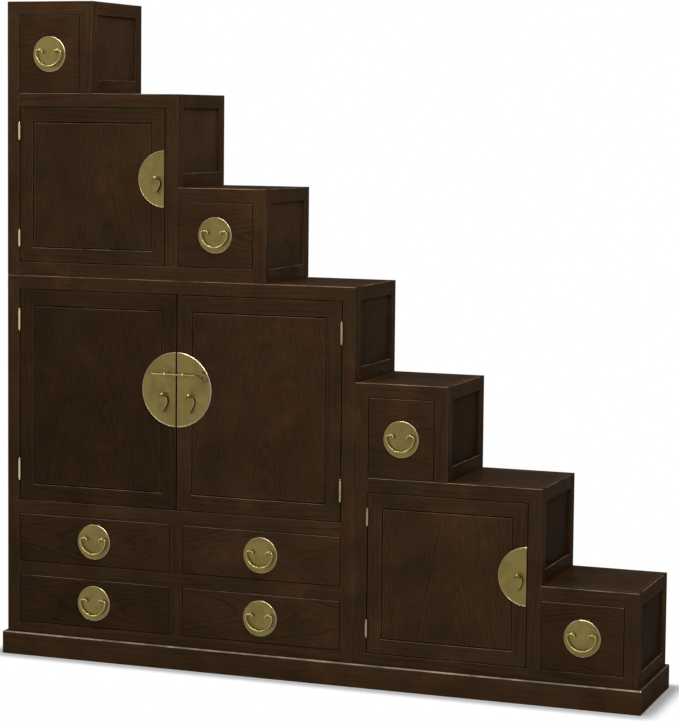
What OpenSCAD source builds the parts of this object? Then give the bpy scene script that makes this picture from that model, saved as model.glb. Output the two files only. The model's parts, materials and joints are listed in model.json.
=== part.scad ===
// Staircase chest: three framed cabinets on one plinth, climbing in seven treads,
// with eight drawers, four doors and brass fittings.
// X runs along the steps, Y from front to back, Z up.

/* [Steps] */
// Width of one tread
tread_w = 255.5; // [250:0.5:300]
// Rise from one tread to the next
rise = 249; // [240:1:280]
// Height of the lowest tread above the floor
first_rise = 307; // [295:1:340]
// Depth of the cabinets from front to back
depth = 313; // [290:1:400]

/* [Plinth] */
// Height of the plinth
plinth_h = 62.5; // [50:0.5:75]
// How far the plinth stands out past the cabinets
plinth_lip = 11; // [6:0.5:16]
// Thickness of the plinth boards
plinth_t = 25; // [20:1:32]

/* [Frames] */
// Face width of the square posts
post_w = 37; // [34:1:42]
// Height of the rails
rail_h = 37; // [32:1:42]
// Height of the lowest rails, next to the plinth
foot_rail_h = 29.5; // [25:0.5:40]
// Height of the rails between the rows of lower drawers
row_rail_h = 38; // [32:0.5:44]
// Thickness of the side rails
side_rail_t = 24; // [18:1:28]
// Thickness of the panels in the sides and the back
panel_t = 9; // [6:0.5:11]
// How far those panels lie behind the face of their frames
panel_recess = 7; // [3:0.5:10]
// Hairline left in every glued joint
joint = 0.1; // [0.05:0.05:0.3]

/* [Boards] */
// Thickness of the treads
tread_t = 18; // [14:1:22]
// Thickness of the floors and partitions
board_t = 12; // [10:1:16]
// Thickness of the shelf in the double cupboard
shelf_t = 16; // [12:1:20]
// Height of the shelf's underside above the cupboard floor
shelf_rise = 284; // [200:1:330]
// Width and height of the cleats under the shelf
cleat = 18; // [12:1:24]
// Height of the strips that guide the drawers
guide_h = 25; // [15:1:35]

/* [Drawers] */
// Height of the openings of the four lower drawers
row_drawer_h = 132.5; // [115:0.5:145]
// Gap round a drawer front
front_gap = 1.5; // [0.8:0.1:2.5]
// Thickness of a drawer front
front_t = 18; // [14:1:22]
// Thickness of a drawer's sides and back
drawer_wall = 10; // [8:0.5:14]
// Thickness of a drawer's bottom
drawer_bottom_t = 6; // [4:0.5:9]
// Height of a drawer's bottom above the lower edge of its sides
bottom_rise = 5; // [3:0.5:10]
// Room above a drawer's sides
headroom = 9; // [5:0.5:15]
// Clearance beside a drawer, to each guide
side_gap = 0.8; // [0.3:0.1:1.5]
// Clearance under a drawer's sides
run_gap = 0.3; // [0.1:0.1:0.5]
// Clearance behind a drawer
back_gap = 8; // [4:0.5:20]

/* [Doors] */
// Thickness of the doors
door_t = 22; // [18:0.5:26]
// Face width of the frames of the two single doors
single_stile_w = 38; // [34:0.5:50]
// Face width of the frames of the pair of doors
pair_stile_w = 42.5; // [38:0.5:55]
// Gap above, below and at the closing edge of a door
door_gap = 1.8; // [1:0.1:3]
// Gap between the two doors of the pair
meeting_gap = 3; // [2:0.1:5]
// Thickness of the door panels
door_panel_t = 12; // [9:0.5:15]
// How far the door panels lie behind the face of their frames
door_panel_set = 0.8; // [0.4:0.1:2]
// Bevel round the door panels
panel_bevel = 4; // [2:0.5:7]
// Clearance between a door and the stop behind it
stop_gap = 0.3; // [0.1:0.1:0.5]
// Depth of the door stops
stop_t = 12; // [8:1:14]
// Height of the door stops
stop_h = 10; // [6:1:14]

/* [Hinges] */
// Gap between a post and the door that hangs on it
hinge_gap = 2.4; // [2.3:0.1:3]
// Thickness of a hinge leaf
leaf_t = 1; // [0.8:0.05:1.1]
// How far the leaves reach into the gap
leaf_reach = 16; // [10:0.5:18]
// Diameter of the knuckles
knuckle_d = 6.4; // [5.8:0.1:7]
// Diameter of the hinge pins
hinge_pin_d = 3; // [2.4:0.1:3.2]
// Running clearance of the hinge pins, on the radius
pin_clearance = 0.05; // [0.02:0.01:0.1]
// Gap between the knuckles and the face behind them
knuckle_gap = 0.3; // [0.2:0.05:0.5]
// How far behind the pin's bore the leaves start inside their knuckles
leaf_start = 0.2; // [0.1:0.05:0.5]
// Gap between one knuckle and the next
knuckle_space = 0.4; // [0.3:0.1:0.8]
// Height of the hinges of the single doors
single_hinge_h = 40; // [36:1:65]
// Height of the hinges of the pair of doors
pair_hinge_h = 53; // [44:1:80]
// Distance from a single door's top or bottom edge to the middle of its hinge
single_hinge_in = 64; // [50:1:80]
// The same distance on the pair of doors
pair_hinge_in = 83; // [60:1:110]
// Diameter of the round ends of the hinge pins
finial_d = 4.6; // [4.2:0.1:5.4]

/* [Drawer fittings] */
// Diameter of the round plates on the drawers
drawer_plate_d = 97; // [92:0.5:110]
// Thickness of all the brass plates
plate_t = 1.6; // [1.2:0.1:2.5]
// Bevel on the edge of the plates
plate_bevel = 0.9; // [0.4:0.1:1.1]
// Distance from a drawer plate's middle to each of its posts
post_spread = 27; // [24:0.5:30]
// Height of those posts above the plate's middle
post_rise = 11; // [8:0.5:14]
// Diameter of the shank of all the posts
shank_d = 5; // [4:0.1:6]
// Diameter of the heads of the drawer posts
eye_d = 8.4; // [7.6:0.1:9.5]
// Distance from a drawer plate to the eyes of its posts
eye_reach = 6.5; // [6:0.1:9]
// Diameter of a bail's wire
bail_wire = 4.4; // [3.6:0.1:5]
// Clearance round whatever hangs loosely in an eye, on the radius
eye_clearance = 0.3; // [0.2:0.05:0.4]
// Radius of a bail's round bottom, to the middle of the wire
bail_r = 38; // [35:0.5:40]
// Drop from the eyes of the posts to the middle of that round bottom
bail_drop = 5.6; // [5:0.1:12]
// Bend radius at a bail's shoulders and tips
bail_bend = 5; // [4:0.1:5]
// Length of straight wire between a drawer post's head and the bend at a bail's tip
tip_straight = 1; // [0.5:0.5:3]
// How far a bail's tips turn down, in degrees
tip_sweep = 70; // [30:5:85]
// Diameter of the round ends of a bail's wire
bail_tip_d = 5; // [4.6:0.1:5.6]

/* [Door fittings] */
// Diameter of the split round plate on the pair of doors
pair_plate_d = 204; // [180:1:230]
// Diameter of the half-round plates on the single doors
single_plate_d = 154; // [140:1:180]
// Height of the split plate's middle above the middle of its doors
pair_plate_rise = 35; // [0:1:60]
// The same height on the single doors
single_plate_rise = 22; // [0:1:50]
// Distance from the middle of the split plate to each pull
pair_pull_in = 39.5; // [30:0.5:50]
// Drop from the middle of the split plate to the pulls
pair_pull_drop = 12; // [0:1:30]
// Distance from a single door's closing edge to its pull
single_pull_in = 23.5; // [20:0.5:40]
// Height of a single door's pull above the middle of its plate
single_pull_rise = 4; // [0:0.5:20]
// Diameter of the ball that a pull hangs on
ball_d = 9; // [8:0.1:11]
// Distance from a door plate to the middle of the ball
ball_reach = 9; // [8.5:0.1:12]
// Diameter of a pull's cross pin
cross_pin_d = 2.4; // [2:0.1:3]
// Thickness of a pull
pull_t = 2.4; // [1.8:0.1:3]
// Radius of the wide part of the single doors' pulls
single_pull_r = 13; // [11:0.5:15]
// The same radius on the pair of doors
pair_pull_r = 15; // [12:0.5:17]
// Radius of a pull's tip
pull_tip_r = 6; // [4:0.5:8]
// Length of a single door's pull from the cross pin to its tip
single_pull_l = 42; // [38:1:46]
// The same length on the pair of doors
pair_pull_l = 50; // [40:1:54]
// Width of the yoke at the top of a pull
yoke_w = 16; // [15:0.5:20]
// Gap between the ball and the yoke round it
yoke_gap = 0.6; // [0.4:0.1:0.8]
// How far the yoke reaches above the cross pin
yoke_over = 1; // [0.5:0.5:2]
// How far the notch for the ball cuts into a pull's wide part
notch_depth = 2; // [1:0.5:3]

/* [Bolt] */
// Height of the bolt above the middle of the split plate
bolt_rise = 42; // [30:1:60]
// Distance from the middle of the split plate to the staple on the left door
left_staple_in = 32.5; // [24:0.5:40]
// The same distance on the right door
right_staple_in = 21.5; // [20:0.5:32]
// Diameter of the heads of the staples
staple_d = 11; // [9.5:0.1:13]
// Distance from the plate to the eyes of the staples
staple_reach = 8; // [7:0.1:10]
// Diameter of the bolt
bolt_d = 5.4; // [4:0.1:6]
// Length of the bolt to the left of the middle of the split plate
bolt_left = 69; // [50:1:80]
// Length of the plain shaft to the right of that middle
bolt_right = 58; // [45:1:70]
// Diameter of the bead where the shaft ends
bead_d = 9; // [7:0.1:11]
// Length of the flat grip beyond the bead
grip_l = 33; // [20:1:45]
// Width of the grip
grip_w = 11; // [8:0.5:14]
// Thickness of the grip
grip_t = 3; // [2:0.1:4]

/* [Hidden] */
elm = "#3a2418";
elm_inside = "#8a6a4a";
brass = "#9d8648";
$fn = 64;
over = 1; // how far a bore is cut past the ends of its solid

step_count = 7;
unit_steps = 4; // one three-step unit starts four treads after the other
cabinet_w = step_count * tread_w;
function tread_z(n) = first_rise + (step_count - n) * rise;
function edge_x(n) = n * tread_w;

// the space between the front and back posts
bay_y = [post_w, depth - post_w];
panel_in = panel_recess + panel_t;
guide_w = (post_w - board_t) / 2;

// the lower left cabinet, whose top is the fourth tread
low_w = edge_x(unit_steps);
low_top = tread_z(unit_steps);
low_mid = low_w / 2;
low_floor = plinth_h + foot_rail_h;
function row_floor(i) = low_floor + i * (row_drawer_h + row_rail_h);
cupboard_floor = row_floor(2);
shelf_z = cupboard_floor + shelf_rise;

// the two three-step units: 0 stands on the fourth tread, 1 on the plinth
function unit_edge(u, k) = edge_x(u * unit_steps + k);
function unit_tread(u, k) = tread_z(u * unit_steps + k);
function unit_base(u) = u == 0 ? low_top : plinth_h;
function unit_floor(u) = unit_base(u) + (u == 0 ? rail_h : foot_rail_h);

// openings in the front frames, each [left, right, bottom, top]
function unit_top_drawer(u) =
    [unit_edge(u, 0) + post_w, unit_edge(u, 1) - post_w, unit_tread(u, 2), unit_tread(u, 1) - rail_h];
function unit_low_drawer(u) =
    [unit_edge(u, 2), unit_edge(u, 3) - post_w, unit_floor(u), unit_tread(u, 3) - rail_h];
function unit_door(u) =
    [unit_edge(u, 0) + post_w, unit_edge(u, 2) - post_w, unit_floor(u), unit_tread(u, 2) - rail_h];
function row_drawer(i, right) =
    right ? [low_mid + post_w / 2, low_w - post_w, row_floor(i), row_floor(i) + row_drawer_h]
          : [post_w, low_mid - post_w / 2, row_floor(i), row_floor(i) + row_drawer_h];
double_cupboard = [post_w, low_w - post_w, cupboard_floor, low_top - rail_h];

drawers = [
    unit_top_drawer(0), unit_low_drawer(0),
    row_drawer(1, false), row_drawer(1, true),
    row_drawer(0, false), row_drawer(0, true),
    unit_top_drawer(1), unit_low_drawer(1)
];

// doors: upper single, left and right of the pair, lower single
door_names = ["upper", "left", "right", "lower"];
doors = [
    unit_door(0),
    [post_w, low_mid, cupboard_floor, low_top - rail_h],
    [low_mid, low_w - post_w, cupboard_floor, low_top - rail_h],
    unit_door(1)
];
function paired(n) = n == 1 || n == 2;
function hangs_right(n) = n == 2;
function closing_gap(n) = paired(n) ? meeting_gap / 2 : door_gap;
function door_box(n) = [
    doors[n][0] + (hangs_right(n) ? closing_gap(n) : hinge_gap),
    doors[n][1] - (hangs_right(n) ? hinge_gap : closing_gap(n)),
    doors[n][2] + door_gap,
    doors[n][3] - door_gap
];
function stile_w(n) = paired(n) ? pair_stile_w : single_stile_w;
function hinge_h(n) = paired(n) ? pair_hinge_h : single_hinge_h;
function hinge_in(n) = paired(n) ? pair_hinge_in : single_hinge_in;

// inward is the direction from the closing edge to the hinges
function inward(n) = hangs_right(n) ? 1 : -1;
function closing_x(n) = door_box(n)[hangs_right(n) ? 0 : 1];
function hinge_x(n) = hangs_right(n) ? doors[n][1] - hinge_gap / 2 : doors[n][0] + hinge_gap / 2;
hinge_y = -knuckle_d / 2 - knuckle_gap;

// door fittings
function plate_d(n) = paired(n) ? pair_plate_d : single_plate_d;
function plate_x(n) = paired(n) ? low_mid : closing_x(n);
function plate_z(n) =
    (doors[n][2] + doors[n][3]) / 2 + (paired(n) ? pair_plate_rise : single_plate_rise);
function pull_x(n) = plate_x(n) + inward(n) * (paired(n) ? pair_pull_in : single_pull_in);
function staple_x(n) = plate_x(n) + (hangs_right(n) ? right_staple_in : -left_staple_in);
function pull_z(n) = plate_z(n) + (paired(n) ? -pair_pull_drop : single_pull_rise);
bolt_z = plate_z(1) + bolt_rise;
bolt_y = -plate_t - staple_reach;

// bails and pulls hang straight down from these lines
bail_y = -plate_t - eye_reach;
pull_y = -plate_t - ball_reach;
cross_bore_r = cross_pin_d / 2 + eye_clearance;

// what stands furthest forward: the balls, the staples or the plinth
front_reach = max(plinth_lip, plate_t + ball_reach + ball_d / 2, plate_t + staple_reach + staple_d / 2);

// ---- shared shapes ----

// the origin lies under the middle of the whole piece; pieces are placed from the
// left front corner of the cabinets
module from_corner() {
    translate([-cabinet_w / 2, (front_reach - depth) / 2, 0]) children();
}

module in_elm() {
    color(elm) from_corner() children();
}

module in_brass() {
    color(brass) from_corner() children();
}

module board(from, to) {
    translate(from) cube(to - from);
}

// a flat piece that stands in the front view: points are [x, z]
module face_piece(points, y, t) {
    translate([0, y + t, 0]) rotate([90, 0, 0]) linear_extrude(t) polygon(points);
}

// a board that runs front to back between the posts, from a to b inwards of a side's face
module side_piece(x, dir, a, b, bottom, top) {
    board([min(x + dir * a, x + dir * b), bay_y[0] + joint, bottom],
          [max(x + dir * a, x + dir * b), bay_y[1] - joint, top]);
}

// dir is 1 on a left side and -1 on a right side; levels are the undersides of the rails
module side_rails(x, dir, levels) {
    for (z = levels) side_piece(x, dir, 0, side_rail_t, z, z + rail_h);
}

module side_panels(x, dir, levels) {
    for (i = [1:len(levels) - 1])
        side_piece(x, dir, panel_recess, panel_in, levels[i - 1] + rail_h + joint, levels[i] - joint);
}

module back_panel(opening) {
    board([opening[0] + joint, depth - panel_in, opening[2] + joint],
          [opening[1] - joint, depth - panel_recess, opening[3] - joint]);
}

// a horizontal board between the posts, with its top at z
module floor_board(left, right, z, t) {
    board([left, bay_y[0] + joint, z - t], [right, bay_y[1] - joint, z]);
}

// the two strips that a drawer runs between
module drawer_guides(opening) {
    for (x = [opening[0] - guide_w + joint, opening[1]])
        board([x, bay_y[0] + joint, opening[2] + joint],
              [x + guide_w - joint, bay_y[1] - joint, opening[2] + guide_h]);
}

module partition(x, bottom, top) {
    board([x - board_t / 2, bay_y[0] + joint, bottom + joint],
          [x + board_t / 2, bay_y[1] - joint, top - joint]);
}

module door_stop(opening) {
    board([opening[0] + joint, door_t + stop_gap, opening[3] - stop_h],
          [opening[1] - joint, door_t + stop_gap + stop_t, opening[3] - joint]);
}

// a round post that stands on a plate, with a ball head bored crossways
module eye_post(x, z, reach, head_d, bore_r) {
    translate([x, -plate_t, z]) rotate([90, 0, 0]) difference() {
        union() {
            translate([0, 0, joint]) cylinder(d = shank_d, h = reach - joint);
            translate([0, 0, reach]) sphere(d = head_d);
        }
        translate([0, 0, reach]) rotate([0, 90, 0]) cylinder(r = bore_r, h = 2 * head_d, center = true);
    }
}

// a round plate with a bevelled edge, lying on the front face
module round_plate(x, z, d) {
    translate([x, 0, z]) rotate([90, 0, 0]) rotate_extrude($fn = 120) polygon([
        [0, 0], [d / 2, 0], [d / 2, plate_t - plate_bevel], [d / 2 - plate_bevel, plate_t], [0, plate_t]
    ]);
}

// ---- frames, panels and boards ----

module plinth() in_elm() {
    left = -plinth_lip;
    right = cabinet_w + plinth_lip;
    back = depth - plinth_t;
    board([left, -plinth_lip, 0], [right, plinth_t - plinth_lip, plinth_h]);
    board([left, back, 0], [right, depth, plinth_h]);
    for (x = [left, low_w - plinth_t / 2, right - plinth_t])
        board([x, plinth_t - plinth_lip + joint, 0], [x + plinth_t, back - joint, plinth_h]);
}

// rails and posts of one face of a three-step unit; outer corners are mitred
module unit_face(u, y) {
    left = unit_edge(u, 0);
    posts = [unit_tread(u, 2) + joint, unit_floor(u) + joint, unit_base(u)];
    starts = [left + joint, left + post_w + joint, unit_edge(u, 2) + joint];
    face_piece([
        [left, unit_base(u)], [left + post_w, unit_base(u)],
        [left + post_w, unit_tread(u, 1) - rail_h], [left, unit_tread(u, 1)]
    ], y, post_w);
    for (k = [1:3]) {
        right = unit_edge(u, k);
        z = unit_tread(u, k);
        rail_in = k == 1 ? post_w : 0;
        face_piece([
            [starts[k - 1], z], [starts[k - 1] + rail_in, z - rail_h],
            [right - post_w - joint, z - rail_h], [right - joint, z]
        ], y, post_w);
        face_piece([
            [right - post_w, posts[k - 1]], [right, posts[k - 1]], [right, z], [right - post_w, z - rail_h]
        ], y, post_w);
    }
    board([left + post_w + joint, y, unit_base(u)],
          [unit_edge(u, 3) - post_w - joint, y + post_w, unit_floor(u)]);
}

// sides of a unit, each [face, direction, underside of its rails]
function unit_sides(u) = [
    [unit_edge(u, 0), 1, [unit_base(u), unit_tread(u, 1) - rail_h]],
    [unit_edge(u, 1), -1, [unit_tread(u, 2) + joint, unit_tread(u, 1) - rail_h]],
    [unit_edge(u, 2), -1, [unit_tread(u, 3) + joint, unit_tread(u, 2) - rail_h]],
    [unit_edge(u, 3), -1, [unit_base(u), unit_tread(u, 3) - rail_h]]
];

module unit_frame(u) in_elm() {
    for (y = [0, depth - post_w]) unit_face(u, y);
    for (side = unit_sides(u)) side_rails(side[0], side[1], side[2]);
    door_stop(unit_door(u));
}

module unit_panels(u) in_elm() {
    for (side = unit_sides(u)) side_panels(side[0], side[1], side[2]);
    for (opening = [unit_top_drawer(u), unit_low_drawer(u), unit_door(u)]) back_panel(opening);
}

module unit_boards(u) in_elm() {
    left = unit_edge(u, 0);
    wall = unit_edge(u, 2) - post_w / 2;
    inset = side_rail_t + joint;
    floor_board(left + inset, unit_edge(u, 1) - inset, unit_tread(u, 1), tread_t);
    floor_board(left + panel_in + joint, unit_edge(u, 2) - inset, unit_tread(u, 2), tread_t);
    floor_board(wall - board_t / 2, unit_edge(u, 3) - inset, unit_tread(u, 3), tread_t);
    floor_board(left + inset, unit_edge(u, 3) - inset, unit_floor(u), board_t);
    partition(wall, unit_floor(u), unit_tread(u, 3) - tread_t);
    drawer_guides(unit_top_drawer(u));
    drawer_guides(unit_low_drawer(u));
}

low_left_levels = [plinth_h, cupboard_floor - rail_h, low_top - rail_h];
low_right_levels = [plinth_h, cupboard_floor - rail_h, unit_tread(1, 1), low_top - rail_h];

// rails and posts of one face of the lower left cabinet
module low_face(y) {
    for (right = [false, true]) {
        outer = right ? low_w : 0;
        inner = right ? low_w - post_w : post_w;
        face_piece([[outer, plinth_h], [inner, plinth_h], [inner, low_top - rail_h], [outer, low_top]], y, post_w);
    }
    face_piece([
        [joint, low_top], [post_w + joint, low_top - rail_h],
        [low_w - post_w - joint, low_top - rail_h], [low_w - joint, low_top]
    ], y, post_w);
    for (span = [[plinth_h, low_floor], [row_floor(1) - row_rail_h, row_floor(1)],
                 [cupboard_floor - row_rail_h, cupboard_floor]])
        board([post_w + joint, y, span[0]], [low_w - post_w - joint, y + post_w, span[1]]);
    for (i = [0:1])
        board([low_mid - post_w / 2, y, row_floor(i) + joint],
              [low_mid + post_w / 2, y + post_w, row_floor(i) + row_drawer_h - joint]);
}

module lower_left_frame() in_elm() {
    for (y = [0, depth - post_w]) low_face(y);
    side_rails(0, 1, low_left_levels);
    side_rails(low_w, -1, low_right_levels);
    door_stop(double_cupboard);
}

module lower_left_panels() in_elm() {
    side_panels(0, 1, low_left_levels);
    side_panels(low_w, -1, low_right_levels);
    back_panel(double_cupboard);
    for (i = [0:1], right = [false, true]) back_panel(row_drawer(i, right));
}

module lower_left_boards() in_elm() {
    inset = side_rail_t + joint;
    face = panel_in + joint;
    floor_board(inset, low_w - inset, low_top, tread_t);
    floor_board(inset, low_w - inset, cupboard_floor, board_t);
    floor_board(face, low_w - face, row_floor(1), board_t);
    floor_board(inset, low_w - inset, low_floor, board_t);
    floor_board(face, low_w - face, shelf_z + shelf_t, shelf_t);
    for (x = [face, low_w - face - cleat])
        board([x, bay_y[0] + joint, shelf_z - cleat], [x + cleat, bay_y[1] - joint, shelf_z - joint]);
    for (i = [0:1]) {
        partition(low_mid, row_floor(i), row_floor(i + 1) - board_t);
        for (right = [false, true]) drawer_guides(row_drawer(i, right));
    }
}

// ---- drawers ----

module drawer_front(opening) in_elm() {
    board([opening[0] + front_gap, 0, opening[2] + front_gap],
          [opening[1] - front_gap, front_t, opening[3] - front_gap]);
}

module drawer_box(opening) color(elm_inside) from_corner() {
    left = opening[0] + side_gap;
    right = opening[1] - side_gap;
    bottom = opening[2] + run_gap;
    top = opening[3] - headroom;
    back = depth - post_w - back_gap;
    for (x = [left, right - drawer_wall]) board([x, front_t, bottom], [x + drawer_wall, back, top]);
    inner_left = left + drawer_wall + joint;
    inner_right = right - drawer_wall - joint;
    floor_top = bottom + bottom_rise + drawer_bottom_t;
    board([inner_left, front_t, bottom + bottom_rise], [inner_right, back, floor_top]);
    board([inner_left, back - drawer_wall, floor_top + joint], [inner_right, back, top]);
}

function mid_x(opening) = (opening[0] + opening[1]) / 2;
function mid_z(opening) = (opening[2] + opening[3]) / 2;

module drawer_plate(opening) in_brass() {
    round_plate(mid_x(opening), mid_z(opening), drawer_plate_d);
    for (side = [-1, 1])
        eye_post(mid_x(opening) + side * post_spread, mid_z(opening) + post_rise,
                 eye_reach, eye_d, bail_wire / 2 + eye_clearance);
}

module wire(from, length, turn) {
    translate(from) rotate(turn) cylinder(d = bail_wire, h = length);
}

// a bend in the bail's own plane, from angle a round to a + sweep
module bend(centre, r, a, sweep) {
    translate([centre[0], 0, centre[1]]) rotate([90, 0, 0]) rotate([0, 0, a])
        rotate_extrude(angle = sweep, $fn = 96) translate([r, 0]) circle(d = bail_wire, $fn = 32);
}

// half a bail about its pivot line, the right hand half
module half_bail() {
    shoulder = bail_r - bail_bend;
    tip = post_spread - eye_d / 2 - tip_straight;
    bend([0, -bail_drop], bail_r, -90, 90);
    wire([bail_r, 0, -bail_drop], bail_drop - bail_bend, [0, 0, 0]);
    bend([shoulder, -bail_bend], bail_bend, 0, 90);
    wire([tip, 0, 0], shoulder - tip, [0, 90, 0]);
    bend([tip, -bail_bend], bail_bend, 90, tip_sweep);
    translate([tip - bail_bend * sin(tip_sweep), 0, -bail_bend * (1 - cos(tip_sweep))])
        sphere(d = bail_tip_d);
}

module drawer_bail(opening) in_brass() {
    translate([mid_x(opening), bail_y, mid_z(opening) + post_rise]) {
        half_bail();
        mirror([1, 0, 0]) half_bail();
    }
}

// ---- doors ----

module door_frame(n) in_elm() {
    box = door_box(n);
    w = stile_w(n);
    for (x = [0, 1]) {
        outer = box[x];
        inner = box[x] + (x == 0 ? w : -w);
        face_piece([[outer, box[2]], [inner, box[2] + w], [inner, box[3] - w], [outer, box[3]]], 0, door_t);
    }
    for (z = [2, 3]) {
        inner = box[z] + (z == 2 ? w : -w);
        face_piece([
            [box[0] + joint, box[z]], [box[1] - joint, box[z]],
            [box[1] - w - joint, inner], [box[0] + w + joint, inner]
        ], 0, door_t);
    }
}

// a door's panel, bevelled all round its front
module door_panel(n) in_elm() {
    box = door_box(n);
    w = stile_w(n) + joint;
    front = door_panel_set;
    back = front + door_panel_t;
    x = [box[0] + w, box[1] - w];
    z = [box[2] + w, box[3] - w];
    intersection() {
        translate([0, 0, z[0]]) linear_extrude(z[1] - z[0]) polygon([
            [x[0], front + panel_bevel], [x[0] + panel_bevel, front], [x[1] - panel_bevel, front],
            [x[1], front + panel_bevel], [x[1], back], [x[0], back]
        ]);
        translate([x[0], 0, 0]) rotate([90, 0, 90]) linear_extrude(x[1] - x[0]) polygon([
            [front + panel_bevel, z[0]], [front, z[0] + panel_bevel], [front, z[1] - panel_bevel],
            [front + panel_bevel, z[1]], [back, z[1]], [back, z[0]]
        ]);
    }
}

// knuckles of one hinge that share a leaf: spans are [bottom, top]
module hinge_half(x, dir, spans, bottom, top) {
    leaf_front = hinge_y + hinge_pin_d / 2 + pin_clearance + leaf_start;
    difference() {
        union() {
            for (s = spans) {
                translate([x, hinge_y, s[0]]) cylinder(d = knuckle_d, h = s[1] - s[0]);
                hinge_leaf(x, dir, leaf_front, s[0], s[1]);
            }
            hinge_leaf(x, dir, knuckle_gap, bottom, top);
        }
        translate([x, hinge_y, bottom - over])
            cylinder(r = hinge_pin_d / 2 + pin_clearance, h = top - bottom + 2 * over);
    }
}

// the leaf lies against the post or the door, on the side that dir points to
module hinge_leaf(x, dir, front, bottom, top) {
    face = x + dir * hinge_gap / 2;
    board([min(face, face - dir * leaf_t), front, bottom], [max(face, face - dir * leaf_t), leaf_reach, top]);
}

function hinge_middles(n) = [door_box(n)[2] + hinge_in(n), door_box(n)[3] - hinge_in(n)];

// the middle knuckle is the door's, and the outer two are the post's
module door_half_hinges(n) {
    part = hinge_h(n) / 3;
    for (z = hinge_middles(n))
        hinge_half(hinge_x(n), -inward(n), [[z - part / 2, z + part / 2]], z - hinge_h(n) / 2, z + hinge_h(n) / 2);
}

module post_half_hinges(n) {
    part = hinge_h(n) / 3;
    for (z = hinge_middles(n)) {
        bottom = z - hinge_h(n) / 2;
        top = z + hinge_h(n) / 2;
        hinge_half(hinge_x(n), inward(n), [
            [bottom, z - part / 2 - knuckle_space], [z + part / 2 + knuckle_space, top]
        ], bottom, top);
        ends = [bottom - finial_d / 2 - joint, top + finial_d / 2 + joint];
        translate([hinge_x(n), hinge_y, ends[0]]) cylinder(d = hinge_pin_d, h = ends[1] - ends[0]);
        for (end = ends) translate([hinge_x(n), hinge_y, end]) sphere(d = finial_d);
    }
}

module post_hinges() in_brass() {
    for (n = [0:len(doors) - 1]) post_half_hinges(n);
}

module door_brass(n) in_brass() {
    reach = inward(n) * plate_d(n);
    intersection() {
        round_plate(plate_x(n), plate_z(n), plate_d(n));
        board([min(closing_x(n), closing_x(n) + reach), -plate_t, plate_z(n) - plate_d(n)],
              [max(closing_x(n), closing_x(n) + reach), 0, plate_z(n) + plate_d(n)]);
    }
    eye_post(pull_x(n), pull_z(n), ball_reach, ball_d, cross_bore_r);
    if (paired(n))
        eye_post(staple_x(n), bolt_z, staple_reach, staple_d, bolt_d / 2 + eye_clearance);
    door_half_hinges(n);
}

// outline of a pull below its cross pin: two circles and the band between them
module pull_outline(r, length) {
    yoke_r = ball_d / 2 + yoke_gap;
    top = notch_depth - yoke_r - r;
    tip = pull_tip_r - length;
    slope = asin((r - pull_tip_r) / (top - tip));
    difference() {
        union() {
            translate([0, top]) circle(r = r);
            translate([0, tip]) circle(r = pull_tip_r);
            polygon([
                for (side = [-1, 1]) each let (c = cos(slope), s = sin(slope))
                    side < 0 ? [[-r * c, top - r * s], [-pull_tip_r * c, tip - pull_tip_r * s]]
                             : [[pull_tip_r * c, tip - pull_tip_r * s], [r * c, top - r * s]]
            ]);
            translate([-yoke_w / 2, top]) square([yoke_w, cross_pin_d / 2 + yoke_over - top]);
        }
        circle(r = yoke_r);
        translate([-yoke_r, 0]) square([2 * yoke_r, yoke_r]);
    }
}

module door_pull(n) in_brass() {
    pin_l = yoke_w - 2 * yoke_over;
    translate([pull_x(n), pull_y, pull_z(n)]) {
        translate([0, pull_t / 2, 0]) rotate([90, 0, 0]) linear_extrude(pull_t)
            pull_outline(paired(n) ? pair_pull_r : single_pull_r, paired(n) ? pair_pull_l : single_pull_l);
        rotate([0, 90, 0]) cylinder(d = cross_pin_d, h = pin_l, center = true);
    }
}

module bolt() in_brass() {
    translate([low_mid, bolt_y, bolt_z]) {
        translate([-bolt_left, 0, 0]) rotate([0, 90, 0]) cylinder(d = bolt_d, h = bolt_left + bolt_right);
        translate([-bolt_left, 0, 0]) sphere(d = bolt_d);
        translate([bolt_right, 0, 0]) sphere(d = bead_d);
        translate([bolt_right, grip_t / 2, 0]) rotate([90, 0, 0]) linear_extrude(grip_t) {
            translate([0, -bolt_d / 2]) square([grip_l - grip_w / 2, bolt_d]);
            translate([grip_l - grip_w / 2, 0]) circle(d = grip_w);
        }
    }
}

// ---- nodes ----

plinth();
unit_frame(0);  // upper_frame
unit_panels(0);  // upper_panels
unit_boards(0);  // upper_boards
lower_left_frame();
lower_left_panels();
lower_left_boards();
unit_frame(1);  // lower_right_frame
unit_panels(1);  // lower_right_panels
unit_boards(1);  // lower_right_boards
post_hinges();
for (n = [1:len(drawers)]) {
    drawer_front(drawers[n - 1]);
    drawer_box(drawers[n - 1]);
    drawer_plate(drawers[n - 1]);
    drawer_bail(drawers[n - 1]);
}
for (n = [0:len(doors) - 1]) {
    door_frame(n);
    door_panel(n);
    door_brass(n);
    door_pull(n);
}
bolt();
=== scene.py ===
# Stepped staircase chest in dark stained elm with aged brass fittings
import json
import math
import random
import bmesh
import bpy
import numpy as np
from mathutils import Matrix, Quaternion, Vector


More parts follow.
